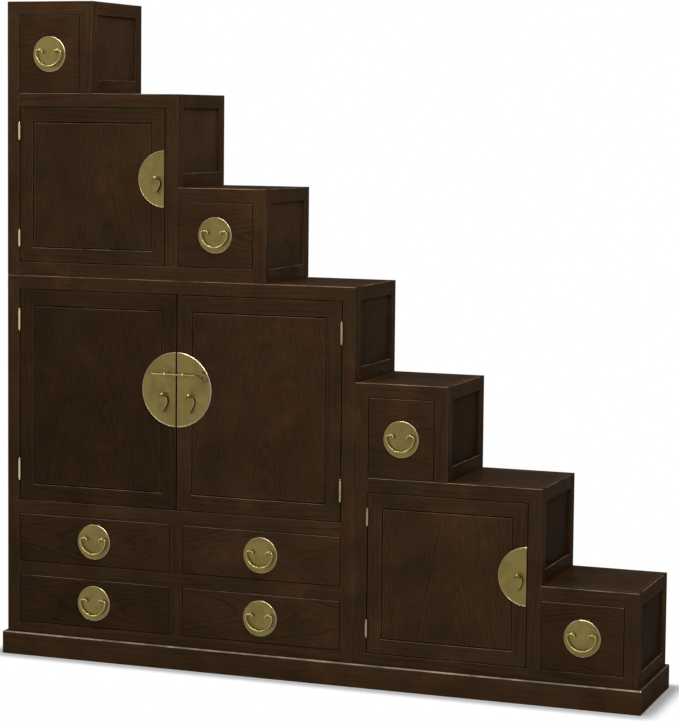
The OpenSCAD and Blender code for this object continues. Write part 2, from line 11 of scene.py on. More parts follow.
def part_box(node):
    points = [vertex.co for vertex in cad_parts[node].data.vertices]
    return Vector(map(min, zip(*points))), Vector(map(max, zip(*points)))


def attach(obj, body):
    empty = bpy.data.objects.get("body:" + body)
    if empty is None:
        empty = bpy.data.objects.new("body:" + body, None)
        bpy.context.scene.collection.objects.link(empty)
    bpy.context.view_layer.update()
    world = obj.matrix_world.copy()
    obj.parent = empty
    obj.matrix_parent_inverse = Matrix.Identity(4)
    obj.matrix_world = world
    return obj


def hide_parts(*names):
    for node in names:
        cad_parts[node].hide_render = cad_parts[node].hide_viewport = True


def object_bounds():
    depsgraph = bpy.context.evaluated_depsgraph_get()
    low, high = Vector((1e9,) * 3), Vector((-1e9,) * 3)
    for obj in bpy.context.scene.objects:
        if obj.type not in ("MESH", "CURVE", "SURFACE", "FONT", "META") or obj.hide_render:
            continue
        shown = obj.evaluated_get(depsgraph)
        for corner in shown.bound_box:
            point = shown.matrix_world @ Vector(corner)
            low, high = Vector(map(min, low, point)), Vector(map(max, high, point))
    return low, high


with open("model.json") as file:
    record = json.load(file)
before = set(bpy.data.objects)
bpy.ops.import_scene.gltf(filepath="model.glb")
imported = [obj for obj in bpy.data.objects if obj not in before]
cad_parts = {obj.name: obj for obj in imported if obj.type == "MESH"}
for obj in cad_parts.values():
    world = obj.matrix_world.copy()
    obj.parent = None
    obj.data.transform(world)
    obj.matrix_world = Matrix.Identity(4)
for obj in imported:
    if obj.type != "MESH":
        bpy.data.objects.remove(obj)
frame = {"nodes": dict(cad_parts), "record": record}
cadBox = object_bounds()
mm = 0.001
doorNames = ["upper", "left", "right", "lower"]
drawerNumbers = range(1, 9)
print("stage: frame loaded,", len(frame["nodes"]), "nodes")


def newObject(name, data):
    obj = bpy.data.objects.new(name, data)
    bpy.context.scene.collection.objects.link(obj)
    return obj


# Where the photograph was taken from: metres, degrees, pixels, and the sensor's long side in mm.
camera = {"place": (2.25014, -5.94009, 1.49935), "yaw": 20.5307, "pitch": 4.36064, "roll": 0.56056,
          "focalPx": 2376.48, "centrePx": (339.506, 296.788), "frame": (679, 722), "sensor": 36}


def makeCamera(look):
    data = bpy.data.cameras.new("camera")
    cam = newObject("camera", data)
    yaw, pitch, roll = (math.radians(look[k]) for k in ("yaw", "pitch", "roll"))
    forward = Vector((-math.sin(yaw) * math.cos(pitch), math.cos(yaw) * math.cos(pitch), -math.sin(pitch)))
    side = Vector((math.cos(yaw), math.sin(yaw), 0))
    up = side.cross(forward)
    right = side * math.cos(roll) + up * math.sin(roll)
    above = up * math.cos(roll) - side * math.sin(roll)
    turn = Matrix((right, above, -forward)).transposed().to_4x4()
    cam.matrix_world = Matrix.Translation(look["place"]) @ turn
    longSide = max(look["frame"])
    data.sensor_width = look["sensor"]
    data.lens = look["focalPx"] * look["sensor"] / longSide
    data.shift_x = (look["frame"][0] / 2 - look["centrePx"][0]) / longSide
    data.shift_y = (look["centrePx"][1] - look["frame"][1] / 2) / longSide
    data.clip_start, data.clip_end = 0.05, 100
    bpy.context.scene.camera = cam


makeCamera(camera)
print("stage: camera")


def linear(hexText):  # sRGB hex to a linear colour
    parts = [int(hexText[i:i + 2], 16) / 255 for i in (1, 3, 5)]
    return [c / 12.92 if c <= 0.04045 else ((c + 0.055) / 1.055) ** 2.4 for c in parts] + [1.0]


def addNode(tree, kind, settings=None, inputs=None):  # one node with its settings and links
    node = tree.nodes.new(kind)
    for name, value in (settings or {}).items():
        if name == "stops":
            ramp = node.color_ramp.elements
            while len(ramp) < len(value):
                ramp.new(0.5)
            for stop, (place, colour) in zip(ramp, value):
                stop.position, stop.color = place, colour
        else:
            setattr(node, name, value)
    for key, value in (inputs or {}).items():
        if isinstance(value, bpy.types.NodeSocket):
            tree.links.new(value, node.inputs[key])
        else:
            node.inputs[key].default_value = value
    return node


def newMaterial(name):
    material = bpy.data.materials.new(name)
    material.use_nodes = True
    material.node_tree.nodes.clear()
    return material, material.node_tree


def linkPiece(name, mesh, node, material=None):  # a piece that stands for a CAD node and rides where it does
    piece = newObject(name, mesh)
    if material is not None:
        mesh.materials.clear()
        mesh.materials.append(material)
    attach(piece, nodeBody[node])
    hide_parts(node)


def finished(obj):  # the plain mesh that an object's modifiers make; the object itself goes
    graph = bpy.context.evaluated_depsgraph_get()
    evaluated = obj.evaluated_get(graph)
    mesh = bpy.data.meshes.new_from_object(evaluated, preserve_all_data_layers=True, depsgraph=graph)
    bpy.data.objects.remove(obj)
    return mesh


# Flat-sawn elm, stained nearly black-brown and rubbed with satin lacquer: rings run as faint arches and
# uneven straight lines, the stain lies in warm and cool patches, and arrises are lighter, partly rubbed wear
# and partly a painted highlight.
# Real pores are 0.2 mm wide and 5 mm long; they are drawn about five times as large, so that they show.
# Spacings, widths, lengths, depths and patches are in mm.
# The pale arris colour is partly rubbed wear and partly a painted highlight; the near-black one is painted shade in
# gaps, grooves and seams.
darkElm = {"dense": "#332314", "porous": "#23180e", "warm": "#3a2617", "cool": "#2b2417",
           "wornAndSheen": "#e8d3ba", "paintedShade": "#120c07", "ringSpacing": 11, "ringWander": 18, "lineWaver": 2.8,
           "poreWidth": 1.0, "poreLength": 24, "poreDepth": 0.2,
           "fibreWidth": 1.8, "fibreLength": 90, "fibreContrast": 0.18,
           "stainPatch": 60, "warmth": 0.55, "coolness": 0.5, "cloudPatch": 130, "cloud": 0.2,
           "roughness": 0.55, "coat": 0.025, "coatRoughness": 0.3}
# Plain softwood of the drawer boxes, only planed: pale, dull, with thin darker rings.
drawerWood = {"dense": "#a98358", "porous": "#8a6540", "warm": "#ab7a4c", "cool": "#9b8560",
              "wornAndSheen": "#bd9c72", "paintedShade": "#7a5a38", "ringSpacing": 5, "ringWander": 5, "lineWaver": 0.8,
              "poreWidth": 0.8, "poreLength": 20, "poreDepth": 0.12,
              "fibreWidth": 1.2, "fibreLength": 60, "fibreContrast": 0.12,
              "stainPatch": 90, "warmth": 0.3, "coolness": 0.3, "cloudPatch": 200, "cloud": 0.05,
              "roughness": 0.7, "coat": 0.02, "coatRoughness": 0.5}
# What both woods share. Waves are counted in a metre, along the grain and both ways across it. A cut is the
# stretch of a noise, which runs from 0 to 1, over which a mark comes up.
sawn = {"wanderWaves": (2.4, 15, 15), "waverWaves": (24, 85, 85), "rubWaves": 16,
        "band": [(0.0, 0.7), (0.12, 1), (0.5, 0.3), (0.9, 0), (1.0, 0.7)],  # darkness across one ring
        "yearWaves": 1.3, "yearCut": (0.36, 0.66), "yearSpread": 0.66, "yearLeast": 0.12, "lineDarkness": 0.9,
        "poreCut": (0.5, 0.68), "poresInBand": 0.7, "poresElsewhere": 0.3,
        "warmCut": (0.48, 0.72), "coolCut": (0.52, 0.3), "fibreCut": (0.25, 0.75), "cloudCut": (0.3, 0.7),
        "rubCut": (0.35, 0.65), "rubLeast": 0.25, "roughSpread": (-0.05, 0.15),
        "fibreRelief": -0.5, "relief": 0.5}

# settings that many nodes share
times, timesPlus = {"operation": "MULTIPLY"}, {"operation": "MULTIPLY_ADD"}
softStep, colourMix = {"interpolation_type": "SMOOTHSTEP"}, {"data_type": "RGBA"}


def makeWood(name, look):
    material, tree = newMaterial(name)
    board, facts, wear, gap = (addNode(tree, "ShaderNodeAttribute", {"attribute_name": label}).outputs
                               for label in ("boardPlace", "boardFacts", "wear", "gap"))
    board = board["Vector"]  # metres, x along the grain
    fact = addNode(tree, "ShaderNodeSeparateXYZ", None, {0: facts["Vector"]})
    tone, taper, seed = fact.outputs[0], fact.outputs[1], fact.outputs[2]
    # the rings wander slowly along a board, and their lines waver a little
    wanderWay = addNode(tree, "ShaderNodeVectorMath", times, {0: board, 1: sawn["wanderWaves"]})
    wander = addNode(tree, "ShaderNodeTexNoise", {"noise_dimensions": "4D"},
                     {"Vector": wanderWay.outputs[0], "W": seed, "Scale": 1, "Detail": 2, "Roughness": 0.5})
    waverWay = addNode(tree, "ShaderNodeVectorMath", times, {0: board, 1: sawn["waverWaves"]})
    waver = addNode(tree, "ShaderNodeTexNoise", None, {"Vector": waverWay.outputs[0], "Scale": 1, "Detail": 2})
    place = addNode(tree, "ShaderNodeSeparateXYZ", None, {0: board})
    along, across, deep = place.outputs[0], place.outputs[1], place.outputs[2]
    acrossSquared = addNode(tree, "ShaderNodeMath", times, {0: across, 1: across})
    squared = addNode(tree, "ShaderNodeMath", timesPlus, {0: deep, 1: deep, 2: acrossSquared.outputs[0]})
    radius = addNode(tree, "ShaderNodeMath", {"operation": "SQRT"}, {0: squared.outputs[0]})
    cone = addNode(tree, "ShaderNodeMath", timesPlus, {0: along, 1: taper, 2: radius.outputs[0]})
    bent = addNode(tree, "ShaderNodeMath", timesPlus,
                   {0: wander.outputs["Fac"], 1: look["ringWander"] * 2 * mm, 2: cone.outputs[0]})
    wavered = addNode(tree, "ShaderNodeMath", timesPlus,
                      {0: waver.outputs["Fac"], 1: look["lineWaver"] * 2 * mm, 2: bent.outputs[0]})
    rings = addNode(tree, "ShaderNodeMath", {"operation": "DIVIDE"},
                    {0: wavered.outputs[0], 1: look["ringSpacing"] * mm})
    ring = addNode(tree, "ShaderNodeMath", {"operation": "FRACT"}, {0: rings.outputs[0]})
    # a ring starts with a dark porous band that fades into denser wood; some years are narrower and fainter
    band = addNode(tree, "ShaderNodeValToRGB", {"stops": [(at, (dark, dark, dark, 1)) for at, dark in sawn["band"]]},
                   {"Fac": ring.outputs[0]})
    years = addNode(tree, "ShaderNodeTexNoise", {"noise_dimensions": "1D"},
                    {"W": rings.outputs[0], "Scale": sawn["yearWaves"], "Detail": 3, "Roughness": 0.7})
    year = addNode(tree, "ShaderNodeMapRange", softStep,
                   {"Value": years.outputs["Fac"], "From Min": sawn["yearCut"][0], "From Max": sawn["yearCut"][1]})
    growth = addNode(tree, "ShaderNodeMath", timesPlus,
                     {0: year.outputs["Result"], 1: sawn["yearSpread"], 2: sawn["yearLeast"]})
    lines = addNode(tree, "ShaderNodeMath", times, {0: band.outputs["Color"], 1: growth.outputs[0]})
    # pores are short dark dashes along the grain, closest together in the porous bands
    poreWaves = 1 / (look["poreWidth"] * mm)
    poreWay = addNode(tree, "ShaderNodeVectorMath", times,
                      {0: board, 1: (1 / (look["poreLength"] * mm), poreWaves, poreWaves)})
    pores = addNode(tree, "ShaderNodeTexNoise", None,
                    {"Vector": poreWay.outputs[0], "Scale": 1, "Detail": 2, "Roughness": 0.6})
    dashes = addNode(tree, "ShaderNodeMapRange", softStep,
                     {"Value": pores.outputs["Fac"], "From Min": sawn["poreCut"][0], "From Max": sawn["poreCut"][1]})
    crowding = addNode(tree, "ShaderNodeMath", timesPlus,
                       {0: lines.outputs[0], 1: sawn["poresInBand"], 2: sawn["poresElsewhere"]})
    pored = addNode(tree, "ShaderNodeMath", times, {0: dashes.outputs["Result"], 1: crowding.outputs[0]})
    darkness = addNode(tree, "ShaderNodeMath", {"operation": "MULTIPLY_ADD", "use_clamp": True},
                       {0: lines.outputs[0], 1: sawn["lineDarkness"], 2: pored.outputs[0]})
    base = addNode(tree, "ShaderNodeMix", colourMix,
                   {"Factor": darkness.outputs[0], 6: linear(look["dense"]), 7: linear(look["porous"])})
    # the stain was wiped over the finished chest and took unevenly, so its patches cross from board to board
    spot = addNode(tree, "ShaderNodeTexCoord").outputs["Object"]
    patches = addNode(tree, "ShaderNodeTexNoise", None,
                      {"Vector": spot, "Scale": 1 / (look["stainPatch"] * mm), "Detail": 4, "Roughness": 0.6})
    warmPatch = addNode(tree, "ShaderNodeMapRange", softStep,
                        {"Value": patches.outputs["Fac"], "From Min": sawn["warmCut"][0],
                         "From Max": sawn["warmCut"][1], "To Max": look["warmth"]})
    coolPatch = addNode(tree, "ShaderNodeMapRange", softStep,
                        {"Value": patches.outputs["Fac"], "From Min": sawn["coolCut"][0],
                         "From Max": sawn["coolCut"][1], "To Max": look["coolness"]})
    warmed = addNode(tree, "ShaderNodeMix", colourMix,
                     {"Factor": warmPatch.outputs["Result"], 6: base.outputs[2], 7: linear(look["warm"])})
    cooled = addNode(tree, "ShaderNodeMix", colourMix,
                     {"Factor": coolPatch.outputs["Result"], 6: warmed.outputs[2], 7: linear(look["cool"])})
    # fibres give fine streaks, the stain is cloudy, and boards differ in tone
    fibreWaves = 1 / (look["fibreWidth"] * mm)
    fibreWay = addNode(tree, "ShaderNodeVectorMath", times,
                       {0: board, 1: (1 / (look["fibreLength"] * mm), fibreWaves, fibreWaves)})
    fibres = addNode(tree, "ShaderNodeTexNoise", None,
                     {"Vector": fibreWay.outputs[0], "Scale": 1, "Detail": 3, "Roughness": 0.65})
    fibre = addNode(tree, "ShaderNodeMapRange", None,
                    {"Value": fibres.outputs["Fac"], "From Min": sawn["fibreCut"][0], "From Max": sawn["fibreCut"][1],
                     "To Min": 1 - look["fibreContrast"], "To Max": 1 + look["fibreContrast"]})
    clouds = addNode(tree, "ShaderNodeTexNoise", None,
                     {"Vector": spot, "Scale": 1 / (look["cloudPatch"] * mm), "Detail": 3, "Roughness": 0.6})
    cloud = addNode(tree, "ShaderNodeMapRange", None,
                    {"Value": clouds.outputs["Fac"], "From Min": sawn["cloudCut"][0], "From Max": sawn["cloudCut"][1],
                     "To Min": 1 - look["cloud"], "To Max": 1 + look["cloud"]})
    streaked = addNode(tree, "ShaderNodeMath", times, {0: fibre.outputs["Result"], 1: cloud.outputs["Result"]})
    value = addNode(tree, "ShaderNodeMath", times, {0: streaked.outputs[0], 1: tone})
    toned = addNode(tree, "ShaderNodeHueSaturation", None, {"Value": value.outputs[0], "Color": cooled.outputs[2]})
    # arrises are lighter in places, partly rubbed wear and partly a painted highlight, and painted shade lies in the
    # gaps round drawers and doors, in the door panels' grooves and along the seams between units
    rub = addNode(tree, "ShaderNodeTexNoise", None,
                  {"Vector": spot, "Scale": sawn["rubWaves"], "Detail": 4, "Roughness": 0.6})
    rubbed = addNode(tree, "ShaderNodeMapRange", None,
                     {"Value": rub.outputs["Fac"], "From Min": sawn["rubCut"][0], "From Max": sawn["rubCut"][1],
                      "To Min": sawn["rubLeast"], "To Max": 1.0})
    wornAndSheen = addNode(tree, "ShaderNodeMath", {"operation": "MULTIPLY", "use_clamp": True},
                   {0: rubbed.outputs["Result"], 1: wear["Fac"]})
    wornSheenColour = addNode(tree, "ShaderNodeMix", colourMix,
                           {"Factor": wornAndSheen.outputs[0], 6: toned.outputs["Color"], 7: linear(look["wornAndSheen"])})
    colour = addNode(tree, "ShaderNodeMix", colourMix,
                     {"Factor": gap["Fac"], 6: wornSheenColour.outputs[2], 7: linear(look["paintedShade"])})
    rough = addNode(tree, "ShaderNodeMapRange", None,
                    {"Value": darkness.outputs[0], "To Min": look["roughness"] + sawn["roughSpread"][0],
                     "To Max": look["roughness"] + sawn["roughSpread"][1]})
    grooves = addNode(tree, "ShaderNodeMath", timesPlus,
                      {0: fibres.outputs["Fac"], 1: sawn["fibreRelief"], 2: darkness.outputs[0]})
    bump = addNode(tree, "ShaderNodeBump", {"invert": True},
                   {"Height": grooves.outputs[0], "Strength": sawn["relief"], "Distance": look["poreDepth"] * mm})
    # the stain drinks most of the shine, and only the thin lacquer on top keeps some
    shader = addNode(tree, "ShaderNodeBsdfPrincipled", None,
                     {"Base Color": colour.outputs[2], "Roughness": rough.outputs["Result"],
                      "Normal": bump.outputs["Normal"], "Specular IOR Level": 0.0,
                      "Coat Weight": look["coat"], "Coat Roughness": look["coatRoughness"]})
    addNode(tree, "ShaderNodeOutputMaterial", None, {"Surface": shader.outputs[0]})
    return material


# Rolled brass plate, brushed and left to age under a thin lacquer: flat olive gold with faint clouds,
# scarcely shiny, a little uneven from the hammer. Sizes, widths and depths of every brass are in mm.
plateBrass = {"clean": "#7b6f40", "dull": "#6f6037", "bloom": "#5e4a2b", "roughness": 0.38,
              "cloudSize": 34, "speckSize": 3, "speckAmount": 0.3,
              "brushWidth": 0.6, "brushDepth": 0.02, "hammerSize": 28, "hammerDepth": 0.12}
# Cast brass that hands keep polished: paler gold with a clear highlight; on the pulls' right-hand bead it is a
# painted highlight.
castBrass = {"clean": "#a3925b", "dull": "#8d7c4b", "bloom": "#78663c", "roughness": 0.24,
             "cloudSize": 14, "speckSize": 5, "speckAmount": 0.12,
             "brushWidth": 0.4, "brushDepth": 0.0008, "hammerSize": 16, "hammerDepth": 0.008}
# Drawn brass of the left-hand hinges, pale, almost cream: the lit copy of the hinges' brass, a painted highlight.
litHingeBrass = {"clean": "#cabd94", "dull": "#b8ab7e", "bloom": "#9a8a60", "roughness": 0.22,
              "cloudSize": 14, "speckSize": 5, "speckAmount": 0.1,
              "brushWidth": 0.4, "brushDepth": 0.002, "hammerSize": 16, "hammerDepth": 0.01}
# A pale brown brass: on the plates' beads and the right half's seam a painted highlight, and on the other hinges the
# shaded copy of the hinges' brass.
beadSheenAndHingeShadeBrass = {"clean": "#a09173", "dull": "#8d7e64", "bloom": "#6a5b46", "roughness": 0.3,
             "cloudSize": 14, "speckSize": 5, "speckAmount": 0.2,
             "brushWidth": 0.4, "brushDepth": 0.002, "hammerSize": 16, "hammerDepth": 0.01}
# What every brass shares, in the terms of the woods.
worked = {"brushWaves": 60, "dullCut": (0.32, 0.72), "speckCut": (0.56, 0.76), "roughSpread": (-0.04, 0.08),
          "brushRelief": 0.3, "hammerRelief": 0.6}


def makeBrass(name, look):
    material, tree = newMaterial(name)
    spot = addNode(tree, "ShaderNodeTexCoord").outputs["Object"]
    clouds = addNode(tree, "ShaderNodeTexNoise", None,
                     {"Vector": spot, "Scale": 1 / (look["cloudSize"] * mm), "Detail": 4,
                      "Roughness": 0.55, "Distortion": 0.3})
    specks = addNode(tree, "ShaderNodeTexNoise", None,
                     {"Vector": spot, "Scale": 1 / (look["speckSize"] * mm), "Detail": 3, "Roughness": 0.7})
    brushWaves = 1 / (look["brushWidth"] * mm)
    brushWay = addNode(tree, "ShaderNodeVectorMath", times,
                       {0: spot, 1: (worked["brushWaves"], brushWaves, brushWaves)})
    brush = addNode(tree, "ShaderNodeTexNoise", None, {"Vector": brushWay.outputs[0], "Scale": 1, "Detail": 1})
    hammer = addNode(tree, "ShaderNodeTexNoise", None,
                     {"Vector": spot, "Scale": 1 / (look["hammerSize"] * mm), "Detail": 1})
    dulled = addNode(tree, "ShaderNodeMapRange", softStep,
                     {"Value": clouds.outputs["Fac"], "From Min": worked["dullCut"][0],
                      "From Max": worked["dullCut"][1]})
    base = addNode(tree, "ShaderNodeMix", colourMix,
                   {"Factor": dulled.outputs["Result"], 6: linear(look["clean"]), 7: linear(look["dull"])})
    speckled = addNode(tree, "ShaderNodeMapRange", softStep,
                       {"Value": specks.outputs["Fac"], "From Min": worked["speckCut"][0],
                        "From Max": worked["speckCut"][1], "To Max": look["speckAmount"]})
    colour = addNode(tree, "ShaderNodeMix", colourMix,
                     {"Factor": speckled.outputs["Result"], 6: base.outputs[2], 7: linear(look["bloom"])})
    rough = addNode(tree, "ShaderNodeMapRange", None,
                    {"Value": dulled.outputs["Result"], "To Min": look["roughness"] + worked["roughSpread"][0],
                     "To Max": look["roughness"] + worked["roughSpread"][1]})
    brushed = addNode(tree, "ShaderNodeBump", None,
                      {"Height": brush.outputs["Fac"], "Strength": worked["brushRelief"],
                       "Distance": look["brushDepth"] * mm})
    hammered = addNode(tree, "ShaderNodeBump", None,
                       {"Height": hammer.outputs["Fac"], "Strength": worked["hammerRelief"],
                        "Distance": look["hammerDepth"] * mm, "Normal": brushed.outputs["Normal"]})
    shader = addNode(tree, "ShaderNodeBsdfPrincipled", None,
                     {"Base Color": colour.outputs[2], "Metallic": 1.0, "Roughness": rough.outputs["Result"],
                      "Normal": hammered.outputs["Normal"]})
    addNode(tree, "ShaderNodeOutputMaterial", None, {"Surface": shader.outputs[0]})
    return material


elmMaterial = makeWood("elm_stained_dark_satin", darkElm)
boxMaterial = makeWood("softwood_planed", drawerWood)
plateMaterial = makeBrass("brass_plate_brushed_aged", plateBrass)
castMaterial = makeBrass("brass_cast_hand_polished", castBrass)
litHingeMaterial = makeBrass("brass_drawn_pale_lacquered", litHingeBrass)
beadSheenAndHingeShadeMaterial = makeBrass("brass_drawn_dull", beadSheenAndHingeShadeBrass)
print("stage: materials")

# Arrises, in mm: arris rounds free edges, joint edges that touch another board, seam edges where two cabinets,
# or a cabinet and the plinth, meet, and plinthArris the plinth's top edge. Touch is how near boards count as
# touching. The wear values say how much lighter arrises are, partly rubbed wear and partly a painted highlight:
# the painted highlight is more on top and less on the right-hand side, as the lamps fall, grows along a plinth
# from its left end to its right, and falls on a drawer's lip from the floor to the top. Tones say how much darker
# or lighter than the rest the boards of a node are; on the side panels, lighter on the upper unit and darker
# on the lower right, they are painted light and shade.
joinery = {"arris": 1.1, "joint": 0.25, "seam": 2.0, "plinthArris": 3.2, "touch": 0.3, "segments": 3, "seed": 11,
           "wearFrame": 0.12, "wearPanel": 0.06, "wearFront": 0.08, "wearBoards": 0.09,
           "wearSide": 0.5, "topSheen": 3.2, "wearDoor": 0.4, "rightShade": 0.8, "underSeam": 0.5,
           "plinthSheen": (0.06, 1.8), "plinthRise": 2.5, "lipSheen": (0.2, 0.03), "toneSpread": 0.05,
           # painted light and shade: the side panels are lighter on the upper unit and darker on the lower right
           "tones": {"left_door_panel": 0.7, "left_door_frame": 0.75,
                     "lower_door_panel": 1.14, "lower_door_frame": 1.08,
                     "drawer_3_front": 0.9, "drawer_4_front": 1.06, "drawer_5_front": 0.75, "drawer_6_front": 1.06,
                     "upper_panels": 1.32, "lower_left_panels": 0.97, "lower_right_panels": 0.66,
                     "upper_frame": 1.1, "lower_left_frame": 1.06, "lower_right_frame": 1.06,
                     "upper_boards": 0.9, "lower_left_boards": 0.9, "lower_right_boards": 0.85, "plinth": 1.1}}
# Painted shade on the bevels of the door panels, most along the top and least on the side that faces the key lamp,
# along the seams between the units, and in the gaps round drawers and doors; reaches are in mm.
shadeMarks = {"top": 0.9, "lit": 0.1, "groove": 0.45, "between": 1.0,
              "gapReach": 3.0, "gapShare": 0.8, "betweenReach": 1.5}
# The cut of a board: where it lay in the trunk (side and heart in shares of its width or in metres), and how
# much its rings taper. Flat-sawn boards, wider than broad, show arches, narrow ones straight lines.
sawing = {"broad": 0.09, "arched": {"heart": (0.025, 0.045), "taper": (0.13, 0.2), "side": (-0.16, 0.16)},
          "straight": {"heart": (0.04, 0.12), "taper": (0.01, 0.035), "side": (0.02, 0.09)}}
uprightGrain = ("_panels", "_door_panel")  # nodes whose boards all stand with the grain upright


def cadMesh(name):  # a merged copy of a CAD node's mesh, with flat faces whole again
    mesh = bmesh.new()
    mesh.from_mesh(frame["nodes"][name].data)
    bmesh.ops.remove_doubles(mesh, verts=mesh.verts, dist=1e-5)
    bmesh.ops.dissolve_limit(mesh, angle_limit=math.radians(0.5), verts=mesh.verts, edges=mesh.edges)
    mesh.verts.ensure_lookup_table()
    return mesh


def islands(mesh):  # lists of vertices, one for each loose board or fitting
    seen, found = set(), []
    for first in mesh.verts:
        if first.index in seen:
            continue
        seen.add(first.index)
        group, queue = [], [first]
        while queue:
            vertex = queue.pop()
            group.append(vertex)
            for edge in vertex.link_edges:
                other = edge.other_vert(vertex)
                if other.index not in seen:
                    seen.add(other.index)
                    queue.append(other)
        found.append(group)
    return found


def boxOf(points):
    array = np.array([p[:] for p in points])
    return array.min(0), array.max(0)


def partBoxes(mesh):  # a box for each loose part of a mesh, which is then freed
    boxes = [boxOf([v.co for v in group]) for group in islands(mesh)]
    mesh.free()
    return boxes


def within(point, box, reach):  # whether a point lies in a box that is larger by reach all round
    return (box[0] - reach < point).all() and (point < box[1] + reach).all()


def isWood(node):
    ends = ("_frame", "_panels", "_boards", "_front", "_box", "_door_panel")
    return node.endswith(ends) or node == "plinth"


nodeBody = {node: body for body, nodes in frame["record"]["behaviour"]["bodies"].items() for node in nodes}
woodNodes = sorted(n for n in frame["nodes"] if isWood(n))
boardBoxes = {node: partBoxes(cadMesh(node)) for node in woodNodes}
plinthLow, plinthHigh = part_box("plinth")
cabinetFrames = ["upper_frame", "lower_left_frame", "lower_right_frame"]


def onPlinthArris(edge):  # the outer edge of the plinth's top, in front and at both ends
    near = 1e-5
    ends = [v.co for v in edge.verts]
    if any(p.z < plinthHigh[2] - near for p in ends):
        return False
    return (all(p.y < plinthLow[1] + near for p in ends) or all(p.x < plinthLow[0] + near for p in ends)
            or all(p.x > plinthHigh[0] - near for p in ends))


def unitOf(node):  # the cabinet, door or drawer that a node's boards are joined into
    return node.rsplit("_", 1)[0]


def dressBoards(node, look):
    mesh = cadMesh(node)
    weights = mesh.edges.layers.float.new("bevel_weight_edge")
    widest = look["plinthArris" if node == "plinth" else "seam" if node in cabinetFrames else "arris"]
    body = nodeBody[node]
    others = [box for other in cabinetFrames + ["plinth"]
              if node in cabinetFrames and unitOf(other) != unitOf(node) for box in boardBoxes[other]]
    near = [(other, i, box) for other in woodNodes if nodeBody[other] == body and unitOf(other) == unitOf(node)
            for i, box in enumerate(boardBoxes[other])]
    reach = look["touch"] * mm
    for own, group in enumerate(islands(mesh)):
        low, high = boxOf([v.co for v in group])
        close = [box for other, i, box in near if (other, i) != (node, own)
                 and (box[0] - reach < high).all() and (box[1] + reach > low).all()]
        for edge in {e for v in group for e in v.link_edges}:
            middle = np.array(((edge.verts[0].co + edge.verts[1].co) / 2)[:])
            held = any(within(middle, box, reach) for box in close)
            meets = any(within(middle, box, reach) for box in others)
            edge[weights] = look["joint" if held else "seam" if meets else "arris"] / widest
            if node == "plinth" and onPlinthArris(edge):
                edge[weights] = 1.0
    for face in mesh.faces:
        face.smooth = True
    data = bpy.data.meshes.new(node)
    mesh.to_mesh(data)
    mesh.free()
    obj = newObject(node + ".work", data)
    bevel = obj.modifiers.new("arris", "BEVEL")
    bevel.limit_method, bevel.width, bevel.segments = "WEIGHT", widest * mm, look["segments"]
    bevel.harden_normals, bevel.use_clamp_overlap = True, True
    data = finished(obj)
    data.name = node + "_wood"
    grainOnBoards(data, node, look)
    wearSheenAndShade(data, node, look, widest)
    return data


def grainOnBoards(data, node, look):  # where each point lies in its own board, with x along the grain
    rng = random.Random(f"{look['seed']} {node}")
    mesh = bmesh.new()
    mesh.from_mesh(data)
    mesh.verts.ensure_lookup_table()
    place = np.zeros((len(mesh.verts), 3), np.float32)
    facts = np.zeros((len(mesh.verts), 3), np.float32)
    upright = node.endswith(uprightGrain)
    tone = look["tones"].get(node, 1)
    for group in islands(mesh):
        low, high = boxOf([v.co for v in group])
        size = high - low
        order = list(np.argsort(-size))  # longest, middle, thinnest axis
        if upright:
            thin = int(np.argmin(size))
            order = [2, 3 - 2 - thin, thin]
        elif node.endswith("_front"):
            order = [0, 2, 1]  # the grain of a drawer front runs level, also on a tall one
        wide = size[order[1]]
        broad = wide > sawing["broad"]
        cut = sawing["arched" if broad else "straight"]
        side = rng.uniform(*cut["side"]) * wide if broad else rng.choice((-1, 1)) * rng.uniform(*cut["side"])
        heart = rng.uniform(*cut["heart"])
        offset = np.array([rng.uniform(-9, 9), side, heart])
        shade = tone * (1 + rng.uniform(-1, 1) * look["toneSpread"])
        fact = (shade, rng.uniform(*cut["taper"]), rng.uniform(0, 50))
        flip = 1 if upright else rng.choice((-1, 1))
        middle = (low + high) / 2
        for vertex in group:
            local = (np.array(vertex.co[:]) - middle)[order]
            place[vertex.index] = (local[0] * flip + offset[0], local[1] + offset[1], local[2] + offset[2])
            facts[vertex.index] = fact
    mesh.free()
    for name, values in (("boardPlace", place), ("boardFacts", facts)):
        data.attributes.new(name, "FLOAT_VECTOR", "POINT").data.foreach_set("vector", values.ravel())


def gapShare(face, low, high, node):  # how much of a face lies in the gaps round drawer fronts and doors
    reach = shadeMarks["gapReach"] * mm
    middle, normal = (low + high) / 2, np.array([face.normal.x, face.normal.z])
    along = int(np.argmax(high - low))
    share = 0
    for moving, (inside, outside) in movingBoxes.items():
        if moving == node:
            return 1.0 if min((middle - inside).min(), (outside - middle).min()) < 0.5 * reach else 0.0
        common = np.minimum(high, outside + reach) - np.maximum(low, inside - reach)
        if (common > 0).all() and normal @ ((inside + outside) / 2 - middle) > 0:
            share += common[along] / (high - low)[along]
    return share


